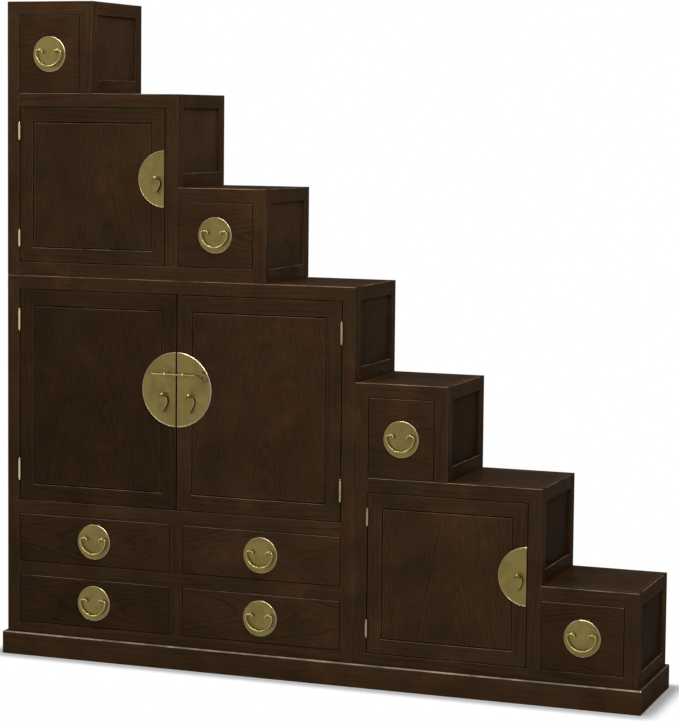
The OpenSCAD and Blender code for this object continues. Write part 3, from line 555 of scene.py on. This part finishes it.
def wearSheenAndShade(data, node, look, widest):  # marks the narrow faces along the edges with wear and painted highlight, and those inside gaps and grooves with painted shade
    kinds = {"_frame": "wearFrame", "_panels": "wearPanel", "_door_panel": "wearPanel", "_front": "wearFront"}
    most = next((look[name] for end, name in kinds.items() if node.endswith(end)), look["wearBoards"])
    top = look["topSheen"] * (look["wearDoor"] if "_door_" in node else 1)
    gaps = node.endswith(("_front", "_frame"))
    standing = [box for other in woodNodes if nodeBody[other] == nodeBody[node] and unitOf(other) != unitOf(node)
                for box in boardBoxes[other]]  # the boards of the units that this one stands on, under or beside
    hair = 1e-6
    wear, paintedShade = [], []
    for face in data.polygons:
        corners = np.array([data.vertices[i].co[:] for i in face.vertices])[:, [0, 2]]
        longest = max((data.vertices[a].co - data.vertices[b].co).length for a, b in face.edge_keys)
        strip = face.area / longest
        normal, centre = face.normal, np.array(face.center[:])
        # painted highlight: arrises facing up are lighter and those facing right darker, as the lamps fall
        strength = most * (look["wearSide"] + top * max(0, normal.z)) * (1 - look["rightShade"] * max(0, normal.x))
        # painted highlight along the plinth's top arris, growing from its left end to its right
        if node == "plinth" and centre[1] < plinthLow[1] + widest * mm and normal.z > 0.2:
            along = (centre[0] - plinthLow[0]) / (plinthHigh[0] - plinthLow[0])
            least, full = look["plinthSheen"]
            strength = least + (full - least) * along ** look["plinthRise"]
        wear.append(strength if look["joint"] * mm < strip < 0.8 * widest * mm else 0.0)
        lip = node.endswith("_front") and normal.z > 0.15 and normal.y < -0.6
        if lip:  # painted highlight on a front's upper arris, strongest low down
            wear[-1] = np.interp(centre[2], (0, cadBox[1][2]), look["lipSheen"])
        # painted shade on the sides of fronts and frames inside the gaps round drawers and doors
        side = gaps and abs(normal.y) < 0.95 and not lip
        shown = side and gapShare(face, corners.min(0) - hair, corners.max(0) + hair, node) > shadeMarks["gapShare"]
        # painted shade on the door panels' bevels, most along the top and least on the side facing the key lamp
        bevel = node.endswith("_door_panel") and abs(normal.y) < 0.8
        groove = shadeMarks["top" if normal.z > 0.3 else "lit" if normal.x < -0.3 else "groove"]
        # painted shade on the bevels along the seams between the units
        between = gaps and -0.95 < normal.y < -0.2 and any(
            within(centre, box, shadeMarks["betweenReach"] * mm) for box in standing)
        if between and normal.z > 0.3:  # under the seam's painted shade, the lower cabinet's upward bevel gets half the painted highlight and no painted shade
            wear[-1], between = wear[-1] * look["underSeam"], False
        paintedShade.append(1.0 if shown else shadeMarks["between"] if between else groove if bevel else 0.0)
    data.attributes.new("wear", "FLOAT", "FACE").data.foreach_set("value", wear)
    data.attributes.new("gap", "FLOAT", "FACE").data.foreach_set("value", paintedShade)


movingBoxes = {node: np.array([c[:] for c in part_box(node)])[:, [0, 2]]
               for node in woodNodes if node.endswith(("_front", "_door_frame"))}
for node in woodNodes:
    isBox = node.endswith("_box")
    linkPiece(node + "_wood", dressBoards(node, joinery), node,
              boxMaterial if isBox else elmMaterial)
print("stage: wood")


def newTree(name, sizes):  # a node tree that takes a shape and named inputs; returns it with its inputs' sockets
    tree = bpy.data.node_groups.new(name, "GeometryNodeTree")
    tree.interface.new_socket("Geometry", in_out="INPUT", socket_type="NodeSocketGeometry")
    for label, kind in sizes.items():
        tree.interface.new_socket(label, in_out="INPUT", socket_type="NodeSocket" + kind)
    tree.interface.new_socket("Geometry", in_out="OUTPUT", socket_type="NodeSocketGeometry")
    return tree, addNode(tree, "NodeGroupInput").outputs


def closeTree(tree, shape, material):
    smooth = addNode(tree, "GeometryNodeSetShadeSmooth", None, {"Geometry": shape})
    real = addNode(tree, "GeometryNodeRealizeInstances", None, {"Geometry": smooth.outputs[0]})
    finish = addNode(tree, "GeometryNodeSetMaterial", None, {"Geometry": real.outputs[0], "Material": material})
    addNode(tree, "NodeGroupOutput", None, {0: finish.outputs[0]})
    return tree


def wireTree():  # round wire along a curve, as thick at each point as the curve's radius says
    tree, given = newTree("roundWire", {"Sides": "Int", "Material": "Material"})
    ring = addNode(tree, "GeometryNodeCurvePrimitiveCircle", None, {"Resolution": given["Sides"], "Radius": 1.0})
    thick = addNode(tree, "GeometryNodeInputRadius")
    wire = addNode(tree, "GeometryNodeCurveToMesh", None,
                   {"Curve": given["Geometry"], "Profile Curve": ring.outputs["Curve"],
                    "Scale": thick.outputs["Radius"], "Fill Caps": True})
    return closeTree(tree, wire.outputs[0], given["Material"])


def collarTree():  # a turned collar with a bead round it, at each point where a post leaves its plate
    tree, given = newTree("postCollars", {"Foot Radius": "Float", "Top Radius": "Float", "Height": "Float",
                                          "Bead Radius": "Float", "Sides": "Int", "Material": "Material"})
    foot = addNode(tree, "GeometryNodeMeshCone", None,
                   {"Vertices": given["Sides"], "Radius Top": given["Top Radius"],
                    "Radius Bottom": given["Foot Radius"], "Depth": given["Height"]})
    path = addNode(tree, "GeometryNodeCurvePrimitiveCircle", None,
                   {"Resolution": given["Sides"], "Radius": given["Top Radius"]})
    section = addNode(tree, "GeometryNodeCurvePrimitiveCircle", None,
                      {"Resolution": 8, "Radius": given["Bead Radius"]})
    bead = addNode(tree, "GeometryNodeCurveToMesh", None,
                   {"Curve": path.outputs["Curve"], "Profile Curve": section.outputs["Curve"]})
    lift = addNode(tree, "ShaderNodeCombineXYZ", None, {"Z": given["Height"]})
    raised = addNode(tree, "GeometryNodeTransform", None,
                     {"Geometry": bead.outputs[0], "Translation": lift.outputs[0]})
    both = addNode(tree, "GeometryNodeJoinGeometry", None, {"Geometry": foot.outputs["Mesh"]})
    tree.links.new(raised.outputs[0], both.inputs["Geometry"])
    placed = addNode(tree, "GeometryNodeInstanceOnPoints", None,
                     {"Points": given["Geometry"], "Instance": both.outputs[0], "Rotation": (math.radians(90), 0, 0)})
    return closeTree(tree, placed.outputs[0], given["Material"])


roundWire = wireTree()
postCollars = collarTree()
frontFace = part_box("drawer_1_front")[0][1]  # the plane of all fronts


def grown(data, tree, values):  # runs a node tree on a curve or a mesh and gives back the plain mesh
    obj = newObject(tree.name, data)
    modifier = obj.modifiers.new(tree.name, "NODES")
    modifier.node_group = tree
    for item in tree.interface.items_tree:
        if item.in_out == "INPUT" and item.name in values:
            modifier[item.identifier] = values[item.name]
    return finished(obj)


def wireAlong(path, sides, material):  # path is a list of (x, y, z, radius) in metres
    curve = bpy.data.curves.new("path", "CURVE")
    curve.dimensions = "3D"
    spline = curve.splines.new("POLY")
    spline.points.add(len(path) - 1)
    for point, (x, y, z, radius) in zip(spline.points, path):
        point.co, point.radius = (x, y, z, 1), radius
    return grown(curve, roundWire, {"Sides": sides, "Material": material})


def joined(name, meshes):  # one mesh from several, each with its own material
    whole = bmesh.new()
    materials = []
    for mesh in meshes:
        materials += [slot for slot in mesh.materials if slot not in materials]
    for mesh in meshes:
        before = len(whole.faces)
        whole.from_mesh(mesh)
        whole.faces.ensure_lookup_table()
        if mesh.materials:
            for face in whole.faces[before:]:
                face.material_index = materials.index(mesh.materials[face.material_index])
    data = bpy.data.meshes.new(name)
    for material in materials:
        data.materials.append(material)
    whole.to_mesh(data)
    whole.free()
    return data


def solidMesh(name, points, faces, material):  # a closed mesh with its faces turned outwards
    mesh = bmesh.new()
    verts = [mesh.verts.new(p) for p in points]
    for face in faces:
        mesh.faces.new([verts[i] for i in face]).smooth = True
    bmesh.ops.recalc_face_normals(mesh, faces=mesh.faces)
    if mesh.calc_volume(signed=True) < 0:
        bmesh.ops.reverse_faces(mesh, faces=mesh.faces)
    data = bpy.data.meshes.new(name)
    data.materials.append(material)
    mesh.to_mesh(data)
    mesh.free()
    return data


def tubeFaces(rings, count):  # the quads between rings of count points each, then a face over either end
    sides = [[r * count + i, r * count + (i + 1) % count, (r + 1) * count + (i + 1) % count, (r + 1) * count + i]
             for r in range(rings - 1) for i in range(count)]
    return sides + [list(range(count)), list(range((rings - 1) * count, rings * count))]


# Plates: rings of points, each further in from the edge and at its own height, in mm; after the flat the way
# in is a share of the radius. The edge is as large as given on a plate of beadRadius, and larger on larger
# ones. A polished bevel and a bead run round the edge, narrower along the seam of the pair, and the middle is
# slightly domed. The bevel and bead are in a paler brass, a painted highlight, also along the right half's seam;
# the left half's seam keeps the plate's brass.
plateShape = {"points": 120, "chord": 40, "beadRings": 8, "chordBead": (0.5, 0.75), "beadRadius": 48,
              "rings": [(0, 0), (0, 0.2), (0.1, 0.32), (1.1, 1.32), (1.3, 1.48), (1.55, 1.5), (1.75, 1.35),
                        (1.9, 1.05), (3.4, 1.0), (0.25, 1.1), (0.5, 1.2), (0.75, 1.26)], "sharp": 60}


def plateMesh(name, look, place, radius, half=0, edge=0):  # half: -1 left, 1 right of a seam at edge, 0 whole
    x0, y0, z0 = place
    rings = []
    widen = math.sqrt(radius / (look["beadRadius"] * mm))
    for index, (inset, height) in enumerate(look["rings"]):
        inset = inset * radius if index > look["beadRings"] else inset * mm * widen
        height *= widen if index < look["beadRings"] else 1  # a flat as thick on every plate: pulls lie on it
        reach = radius - inset
        if half:
            chordAt = edge + inset * look["chordBead"][half > 0]
            top = math.acos(chordAt / reach)
            arc = [(reach * math.cos(a), reach * math.sin(a)) for a in np.linspace(-top, top, look["points"] // 2)]
            chord = [(chordAt, z) for z in np.linspace(arc[-1][1], arc[0][1], look["chord"])[1:-1]]
            outline = [(half * u, v) for u, v in arc + chord]
        else:
            turns = np.linspace(0, 2 * math.pi, look["points"], endpoint=False)
            outline = [(reach * math.cos(a), reach * math.sin(a)) for a in turns]
        rings.append([(x0 + u, y0 - height * mm, z0 + v) for u, v in outline])
        if half and index == look["beadRings"]:
            break
    count = len(rings[0])
    data = solidMesh(name, [p for ring in rings for p in ring], tubeFaces(len(rings), count), plateMaterial)
    data.materials.append(beadSheenAndHingeShadeMaterial)
    for face in data.polygons[:(look["beadRings"] - 1) * count]:  # the bevel and bead get the paler brass, a painted highlight, but for the left half's seam
        face.material_index = 0 if half < 0 and face.index % count >= look["points"] // 2 - 1 else 1
    data.set_sharp_from_angle(angle=math.radians(look["sharp"]))
    return data


def castCopy(name, node, material, keep):  # some loose parts of a CAD node, smooth where they are round
    mesh = bmesh.new()
    mesh.from_mesh(frame["nodes"][node].data)
    bmesh.ops.remove_doubles(mesh, verts=mesh.verts, dist=1e-6)
    mesh.verts.ensure_lookup_table()
    mesh.verts.index_update()
    dropped = [v for group in islands(mesh) if not keep(*boxOf([p.co for p in group])) for v in group]
    bmesh.ops.delete(mesh, geom=dropped, context="VERTS")
    for face in mesh.faces:
        face.smooth = True
    data = bpy.data.meshes.new(name)
    data.materials.append(material)
    mesh.to_mesh(data)
    mesh.free()
    data.set_sharp_from_angle(angle=math.radians(32))
    return data


# What is kept of a CAD node's fittings, by size in metres: a post stands on its plate and is small every way,
# a staple's ball is wider than a pull's, and a hinge is shorter than a plate.
sizesOf = {"post": 0.02, "staple": 0.01, "hinge": 0.06}


def isPost(low, high):
    return high[1] < frontFace - 0.8 * mm and (high - low).max() < sizesOf["post"]


def isHinge(low, high):
    return (high - low).max() < sizesOf["hinge"] and not isPost(low, high)


# Collars of the posts, in mm: the foot sits on the plate under a small bead, and sinks into it a little.
collar = {"face": 1.2, "footRadius": 4.3, "topRadius": 3.2, "height": 1.0, "bead": 0.6, "sides": 32,
          "sink": 0.6, "doorExtra": 0.2}


def footOf(low, high):  # where a post stands on its plate
    return (low[0] + high[0]) / 2, frontFace - collar["face"] * mm, (low[2] + high[2]) / 2


def collarsAt(feet, look, extra=0):  # extra makes the collars higher
    data = bpy.data.meshes.new("feet")
    data.from_pydata([(x, y + look["sink"] * mm, z) for x, y, z in feet], [], [])
    return grown(data, postCollars, {"Foot Radius": look["footRadius"] * mm, "Top Radius": look["topRadius"] * mm,
                                     "Height": (look["height"] + look["sink"] + extra) * mm,
                                     "Bead Radius": look["bead"] * mm, "Sides": look["sides"],
                                     "Material": castMaterial})


def smoothPath(points, steps):  # points of any width joined by a smooth curve that passes through them
    knots = np.array([points[0]] + list(points) + [points[-1]], float)
    path = []
    for a, b, c, d in zip(knots, knots[1:], knots[2:], knots[3:]):
        for t in np.linspace(0, 1, steps, endpoint=False):
            bend = (2 * a - 5 * b + 4 * c - d) * t ** 2 + (3 * b - a - 3 * c + d) * t ** 3
            path.append(0.5 * (2 * b + (c - a) * t + bend))
    return [tuple(p) for p in path + [knots[-1]]]


def roundEnd(place, towards, radius):  # points that close a wire in a round end, as (x, z, radius)
    turns = [math.radians(a) for a in (30, 55, 75, 87)]
    return [(place[0] + towards[0] * radius * math.sin(a), place[1] + towards[1] * radius * math.sin(a),
             radius * math.cos(a)) for a in turns]


def bothWays(half):  # a path that starts in the middle, with its mirror image before it
    return [(-x, z, r) for x, z, r in reversed(half[1:])] + half


def inFront(place, points):  # (x, z, radius) in mm round a place, as wireAlong takes them
    return [(place[0] + x * mm, place[1], place[2] + z * mm, r * mm) for x, z, r in points]


# Bails, in mm: the wire swells towards the bottom and ends in round tips; wire and eye are its radius there
# and in the posts' eyes, and under is how far the eyes' middle lies below the top. The other sizes are those of
# the CAD's bail.
bail = {"round": 38, "drop": 5.6, "shoulder": 10, "bend": 5, "hook": 2.0, "straight": 23.5, "sweep": 84,
        "wire": 2.75, "eye": 2.1, "tip": 2.5, "under": 2.2, "sides": 20}


def bailPath(look):
    half = []  # from the bottom to the right-hand tip, as (x, z, radius)
    for a in np.radians(np.linspace(0, 90, 25)):
        half.append((look["round"] * math.sin(a), -look["drop"] - look["round"] * math.cos(a),
                     look["eye"] + (look["wire"] - look["eye"]) * math.cos(a) ** 1.5))
    shoulder = look["round"] - look["shoulder"]
    for a in np.radians(np.linspace(0, 90, 15)[1:]):
        half.append((shoulder + look["shoulder"] * math.cos(a), look["drop"] * (math.sin(a) - 1), look["eye"]))
    for x in np.linspace(shoulder, look["straight"], 5)[1:]:
        half.append((x, 0, look["eye"]))
    sweep = math.radians(look["sweep"])
    for a in np.linspace(0, sweep, 8)[1:]:
        swell = look["eye"] + (look["tip"] - look["eye"]) * a / sweep
        half.append((look["straight"] - look["bend"] * math.sin(a), -look["bend"] * (1 - math.cos(a)), swell))
    towards = (-math.cos(sweep), -math.sin(sweep))
    end = [half[-1][i] + look["hook"] * towards[i] for i in (0, 1)]
    return bothWays(half + [(*end, look["tip"])] + roundEnd(end, towards, look["tip"]))


for n in drawerNumbers:
    plateNode, bailNode = f"drawer_{n}_plate", f"drawer_{n}_bail"
    low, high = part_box(plateNode)
    middle = ((low[0] + high[0]) / 2, frontFace, (low[2] + high[2]) / 2)
    disc = plateMesh(plateNode, plateShape, middle, (high[0] - low[0]) / 2)
    posts = castCopy("posts", plateNode, castMaterial, isPost)
    corners = [v.co for v in posts.vertices]
    sides = [c for c in corners if c.x < middle[0]], [c for c in corners if c.x > middle[0]]
    collars = collarsAt([footOf(*boxOf(side)) for side in sides], collar)
    linkPiece(plateNode + "_brass", joined(plateNode, [disc, posts, collars]), plateNode)
    bailLow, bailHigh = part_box(bailNode)
    pivot = (middle[0], (bailLow[1] + bailHigh[1]) / 2, bailHigh[2] - bail["under"] * mm)
    wire = wireAlong(inFront(pivot, bailPath(bail)), bail["sides"], castMaterial)
    linkPiece(bailNode + "_brass", wire, bailNode)
print("stage: drawer fittings")


# Pulls: a cast leaf that hangs by two lugs and a cross pin from a ball. The outline is half its width at each
# height, both as shares of the CAD's; the rest is in mm. A bead runs round the edge of a domed middle, and the
# whole leaf is cupped, with its edges nearer the plate; belly is how far it bends back at each height, and
# tipWidth is where its thickness begins to run out. The right-hand bead is in the paler cast brass, a painted
# highlight. Each lug rises from foot, in shares of the leaf, past waist to the pin.
pull = {"outline": [(0.125, 0.48), (0.15, 0.7), (0.2, 0.86), (0.28, 0.97), (0.37, 1.0), (0.48, 0.95), (0.6, 0.81),
                    (0.72, 0.62), (0.83, 0.42), (0.92, 0.25), (0.97, 0.14), (1.0, 0.03)],
        "steps": 3, "around": 36, "beadShare": 0.1, "bead": 1.1, "valley": 0.6, "dome": 0.5, "cup": 1.6,
        "belly": [(0, 0), (0.12, 1.5), (0.25, 3.4), (0.42, 3.8), (0.7, 3.0), (1.0, 1.6)],
        "tipWidth": 3.5, "highlightBead": 1.7, "under": 2.2, "foot": (0.45, -0.19), "waist": (6.9, -5), "lugAt": 5.9,
        "lug": 0.85, "lugEye": 1.05, "pin": 1.15, "pinHead": 1.45, "pinReach": 6.9, "sides": 16, "sharp": 50}


def leafThickness(look, s):  # half the leaf's thickness at s, from -1 at one edge to 1 at the other
    share = look["beadShare"]
    off = (abs(s) - 1 + share) / share
    bead = look["bead"] * math.sqrt(max(0, 1 - off * off))
    inner = 1 - 2 * share
    middle = look["valley"] + look["dome"] * (1 - (s / inner) ** 2) if abs(s) < inner else 0
    return max(bead, middle)


def leafMesh(name, look, place, halfWide, length):
    rows = smoothPath(look["outline"], look["steps"])
    count = look["around"]
    points = []
    for down, wide in rows:
        wide = max(wide, 0.02) * halfWide
        thin = min(1, wide / (look["tipWidth"] * mm))
        bent = np.interp(down, *zip(*look["belly"]))
        for turn in (2 * math.pi * i / count for i in range(count)):
            s = math.cos(turn)
            face = 1 if math.sin(turn) >= 0 else -1
            t = leafThickness(look, s) * mm * thin * face if abs(s) < 0.9999 else 0
            back = bent * mm + look["cup"] * mm * (s * wide / halfWide) ** 2
            points.append((place[0] + wide * s, place[1] + back - t, place[2] - down * length))
    data = solidMesh(name, points, tubeFaces(len(rows), count), plateMaterial)
    data.materials.append(castMaterial)
    # painted highlight: the right-hand bead is in the paler cast brass
    for face in data.polygons[:(len(rows) - 1) * count]:
        s = math.cos(2 * math.pi * (face.index % count + 0.5) / count)
        face.material_index = 1 if s > 1 - look["highlightBead"] * look["beadShare"] else 0
    data.set_sharp_from_angle(angle=math.radians(look["sharp"]))
    return data


def pullMesh(name, look):
    low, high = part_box(name)
    place = ((low[0] + high[0]) / 2, (low[1] + high[1]) / 2, high[2] - look["under"] * mm)
    halfWide, length = (high[0] - low[0]) / 2, place[2] - low[2]
    parts = [leafMesh(name, look, place, halfWide, length)]
    for side in (-1, 1):
        foot = (side * look["foot"][0] * halfWide / mm, look["foot"][1] * length / mm, look["lug"])
        waist = (side * look["waist"][0], look["waist"][1], look["lug"])
        eye = (side * look["lugAt"], 0, look["lugEye"])
        lug = smoothPath([foot, waist, eye], 5) + roundEnd(eye, (0, 1), look["lugEye"])
        parts.append(wireAlong(inFront(place, lug), look["sides"], plateMaterial))
    reach, head = look["pinReach"], look["pinHead"]
    half = [(0, 0, look["pin"]), (reach - 0.6, 0, look["pin"]), (reach - 0.4, 0, head)]
    half += roundEnd((reach - 0.2, 0), (0.5, 0), head)
    parts.append(wireAlong(inFront(place, bothWays(half)), look["sides"], plateMaterial))
    return joined(name, parts)


# Staples: each ball that the bolt runs through carries a little curl, in mm round the ball's middle.
staple = {"curl": [(0.5, 4.6, 1.2), (1.6, 7.4, 1.05), (4.2, 8.9, 0.95), (6.6, 7.6, 0.85), (6.4, 5.3, 0.8),
                   (4.9, 5.4, 0.75)], "steps": 5, "sides": 12}


for name in doorNames:
    node, pullNode = name + "_door_brass", name + "_door_pull"
    hangsRight = name == "right"
    paired = name in ("left", "right")
    whole = bmesh.new()
    whole.from_mesh(castCopy("whole", node, castMaterial, lambda low, high: True))
    parts = partBoxes(whole)
    plateLow, plateHigh = max(parts, key=lambda p: p[1][2] - p[0][2])
    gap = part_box("right_door_frame")[0][0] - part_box("left_door_frame")[1][0] if paired else 0
    seam = plateLow[0] - gap / 2 if hangsRight else plateHigh[0] + gap / 2
    centre = (seam, frontFace, (plateLow[2] + plateHigh[2]) / 2)
    radius = math.hypot((plateHigh[2] - plateLow[2]) / 2, gap / 2)
    posts = [p for p in parts if isPost(*p)]
    # painted light: the upper and left doors' hinges get the lit, pale copy of the brass, the others the shaded one
    meshes = [plateMesh(node, plateShape, centre, radius, 1 if hangsRight else -1, gap / 2),
              castCopy("posts", node, castMaterial, isPost),
              castCopy("hinges", node, litHingeMaterial if name in ("upper", "left") else beadSheenAndHingeShadeMaterial, isHinge),
              collarsAt([footOf(*p) for p in posts], collar, collar["doorExtra"])]
    for low, high in posts:
        wide = high[0] - low[0]
        if wide > sizesOf["staple"]:
            ball = ((low[0] + high[0]) / 2, low[1] + wide / 2, (low[2] + high[2]) / 2)
            curl = smoothPath(staple["curl"], staple["steps"])
            meshes.append(wireAlong(inFront(ball, curl), staple["sides"], castMaterial))
    linkPiece(node + "_fittings", joined(node, meshes), node)
    linkPiece(pullNode + "_leaf", pullMesh(pullNode, pull), pullNode)
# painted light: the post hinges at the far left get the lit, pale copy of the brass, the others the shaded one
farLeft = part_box("left_door_frame")[0][0] + 0.1
litHinges = castCopy("pale", "post_hinges", litHingeMaterial, lambda low, high: high[0] < farLeft)
shadedHinges = castCopy("dull", "post_hinges", beadSheenAndHingeShadeMaterial, lambda low, high: high[0] >= farLeft)
linkPiece("post_hinges_cast", joined("post_hinges", [litHinges, shadedHinges]), "post_hinges")
print("stage: door fittings")

# Bolt, in mm from the seam between the pair of doors: a tapered shaft with a bead, and an open scroll to push
# it by, bent from one long and two short pieces of wire. Left and under place the seam and the shaft's middle
# in the CAD bolt's box.
bolt = {"left": 71.7, "under": 5.5, "sides": 16,
        "shaft": [(-68.6, 0, 2.75), (-56, 0, 2.75), (-30, 0, 2.45), (0, 0, 2.15), (45, 0, 1.8), (50.8, 0, 1.8),
                  (51.6, 0, 2.6), (53.2, 0, 3.5), (54.8, 0, 2.6), (55.8, 0, 1.8), (58.5, 0, 1.8)],
        "scrolls": [[(55, 0, 2.0), (60.5, 3.1, 1.9), (67, 6, 1.8), (74, 6.5, 1.75), (80.5, 4.2, 1.7),
                     (85, -0.8, 1.7), (86.4, -7, 1.7), (84.5, -13.4, 1.6), (79.8, -18, 1.5), (74.2, -19.4, 1.4),
                     (70, -16.8, 1.3), (70, -12.6, 1.2), (73.4, -10.8, 1.1), (75.8, -12.8, 1.0)],
                    [(56, -1, 1.8), (60, -4.4, 1.6), (65.5, -6.4, 1.5), (71.5, -5.2, 1.4), (75.4, -1.4, 1.3),
                     (74.4, 2.4, 1.2), (71, 2.8, 1.1), (69.6, 0.4, 1.0)],
                    [(62, -5.2, 1.4), (61.2, -9.2, 1.3), (64, -12.2, 1.2), (67.4, -10.8, 1.1), (67, -8.6, 1.0)]]}


def boltMesh(look):
    low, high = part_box("bolt")
    place = (low[0] + look["left"] * mm, (low[1] + high[1]) / 2, high[2] - look["under"] * mm)
    leftEnd = roundEnd(look["shaft"][0], (-1, 0), look["shaft"][0][2])
    shaft = list(reversed(leftEnd)) + smoothPath(look["shaft"], 4)
    parts = [wireAlong(inFront(place, shaft), look["sides"], castMaterial)]
    for scroll in look["scrolls"]:
        path = smoothPath(scroll, 6)
        along = Vector(path[-1][:2]) - Vector(path[-2][:2])
        path += roundEnd(path[-1], along.normalized(), path[-1][2])
        parts.append(wireAlong(inFront(place, path), look["sides"], plateMaterial))
    return joined("bolt", parts)


linkPiece("bolt_scrolled", boltMesh(bolt), "bolt")
print("stage: bolt")

# Plain pale floor and soft studio light: a large front lamp from the left, a long narrow one that runs from
# the right to above the object, which the rims, bails and arrises catch, and two weak ones to the right. The
# floor turns white for the camera away from the object. Places, sizes and fades are in metres, power in watts,
# and turn is how far a lamp is turned about its own aim, in degrees.
studio = {"floorSize": 30, "floorColour": "#b8b8b8", "underObject": 0.0005, "fadeFrom": 0.012, "fadeTo": 0.06,
          "worldOnObject": 0.57}
lamps = [{"name": "key", "place": (-4.4, -3.9, 4.6), "aim": (0, 0, 0.8), "turn": 0,
          "size": (2.0, 1.6), "power": 134},
         {"name": "overhead", "place": (0.7, -1.38, 3.8), "aim": (-0.1, -0.15, 0.8), "turn": 39,
          "size": (0.34, 4.3), "power": 112},
         {"name": "right", "place": (4.3, -2.4, 1.3), "aim": (0, 0, 0.8), "turn": 0,
          "size": (0.25, 1.4), "power": 6},
         {"name": "fill", "place": (2.6, -4.6, 4.0), "aim": (-0.7, 0, 1.5), "turn": 0,
          "size": (2.0, 1.6), "power": 30}]


def backgroundRays(tree):  # 1 for what the camera, a reflection or clear glass sees directly
    rays = addNode(tree, "ShaderNodeLightPath").outputs
    seen = addNode(tree, "ShaderNodeMath", {"operation": "ADD"}, {0: rays["Is Camera Ray"], 1: rays["Is Glossy Ray"]})
    seenAll = addNode(tree, "ShaderNodeMath", {"operation": "ADD", "use_clamp": True},
                      {0: seen.outputs[0], 1: rays["Is Transmission Ray"]})
    return seenAll.outputs[0]


def makeFloor(look, low, high):  # low and high are the corners of what stands on it
    half = look["floorSize"] / 2
    mesh = bpy.data.meshes.new("floor")
    corners = [(-half, -half, 0), (half, -half, 0), (half, half, 0), (-half, half, 0)]
    mesh.from_pydata(corners, [], [(0, 1, 2, 3)])
    floor = newObject("floor", mesh)
    floor.location.z = -look["underObject"]
    material, tree = newMaterial("pale_floor")
    spot = addNode(tree, "ShaderNodeTexCoord").outputs["Object"]
    middle = [(low[i] + high[i]) / 2 for i in (0, 1)] + [0]
    reach = [(high[i] - low[i]) / 2 for i in (0, 1)] + [0]
    shifted = addNode(tree, "ShaderNodeVectorMath", {"operation": "SUBTRACT"}, {0: spot, 1: middle})
    sides = addNode(tree, "ShaderNodeVectorMath", {"operation": "ABSOLUTE"}, {0: shifted.outputs[0]})
    past = addNode(tree, "ShaderNodeVectorMath", {"operation": "SUBTRACT"}, {0: sides.outputs[0], 1: reach})
    outside = addNode(tree, "ShaderNodeVectorMath", {"operation": "MAXIMUM"}, {0: past.outputs[0], 1: (0, 0, 0)})
    away = addNode(tree, "ShaderNodeVectorMath", {"operation": "LENGTH"}, {0: outside.outputs[0]})
    fade = addNode(tree, "ShaderNodeMapRange", softStep,
                   {"Value": away.outputs["Value"], "From Min": look["fadeFrom"], "From Max": look["fadeTo"]})
    fadeSeen = addNode(tree, "ShaderNodeMath", times, {0: backgroundRays(tree), 1: fade.outputs["Result"]})
    matt = addNode(tree, "ShaderNodeBsdfDiffuse", None, {"Color": linear(look["floorColour"])})
    white = addNode(tree, "ShaderNodeEmission", None, {"Color": (1, 1, 1, 1), "Strength": 1.0})
    mixed = addNode(tree, "ShaderNodeMixShader", None,
                    {0: fadeSeen.outputs[0], 1: matt.outputs[0], 2: white.outputs[0]})
    addNode(tree, "ShaderNodeOutputMaterial", None, {"Surface": mixed.outputs[0]})
    mesh.materials.append(material)


def makeStudio(look):
    bpy.context.scene.view_settings.view_transform = "Standard"
    world = bpy.data.worlds.new("studio")
    bpy.context.scene.world = world
    world.use_nodes = True
    tree = world.node_tree
    tree.nodes.clear()
    strength = addNode(tree, "ShaderNodeMapRange", None,
                       {"Value": backgroundRays(tree), "To Min": look["worldOnObject"], "To Max": 1.0})
    light = addNode(tree, "ShaderNodeBackground", None,
                    {"Color": (1, 1, 1, 1), "Strength": strength.outputs["Result"]})
    addNode(tree, "ShaderNodeOutputWorld", None, {"Surface": light.outputs[0]})
    makeFloor(look, plinthLow, plinthHigh)


def makeLamp(look):
    data = bpy.data.lights.new(look["name"], "AREA")
    data.shape, data.size, data.size_y, data.energy = "RECTANGLE", *look["size"], look["power"]
    lamp = newObject(look["name"], data)
    lamp.location = look["place"]
    ahead = (Vector(look["aim"]) - lamp.location).to_track_quat("-Z", "Y")
    lamp.rotation_euler = (ahead @ Quaternion((0, 0, 1), math.radians(look["turn"]))).to_euler()
    lamp.visible_camera = False


makeStudio(studio)
for lampLook in lamps:
    makeLamp(lampLook)
print("stage: studio")
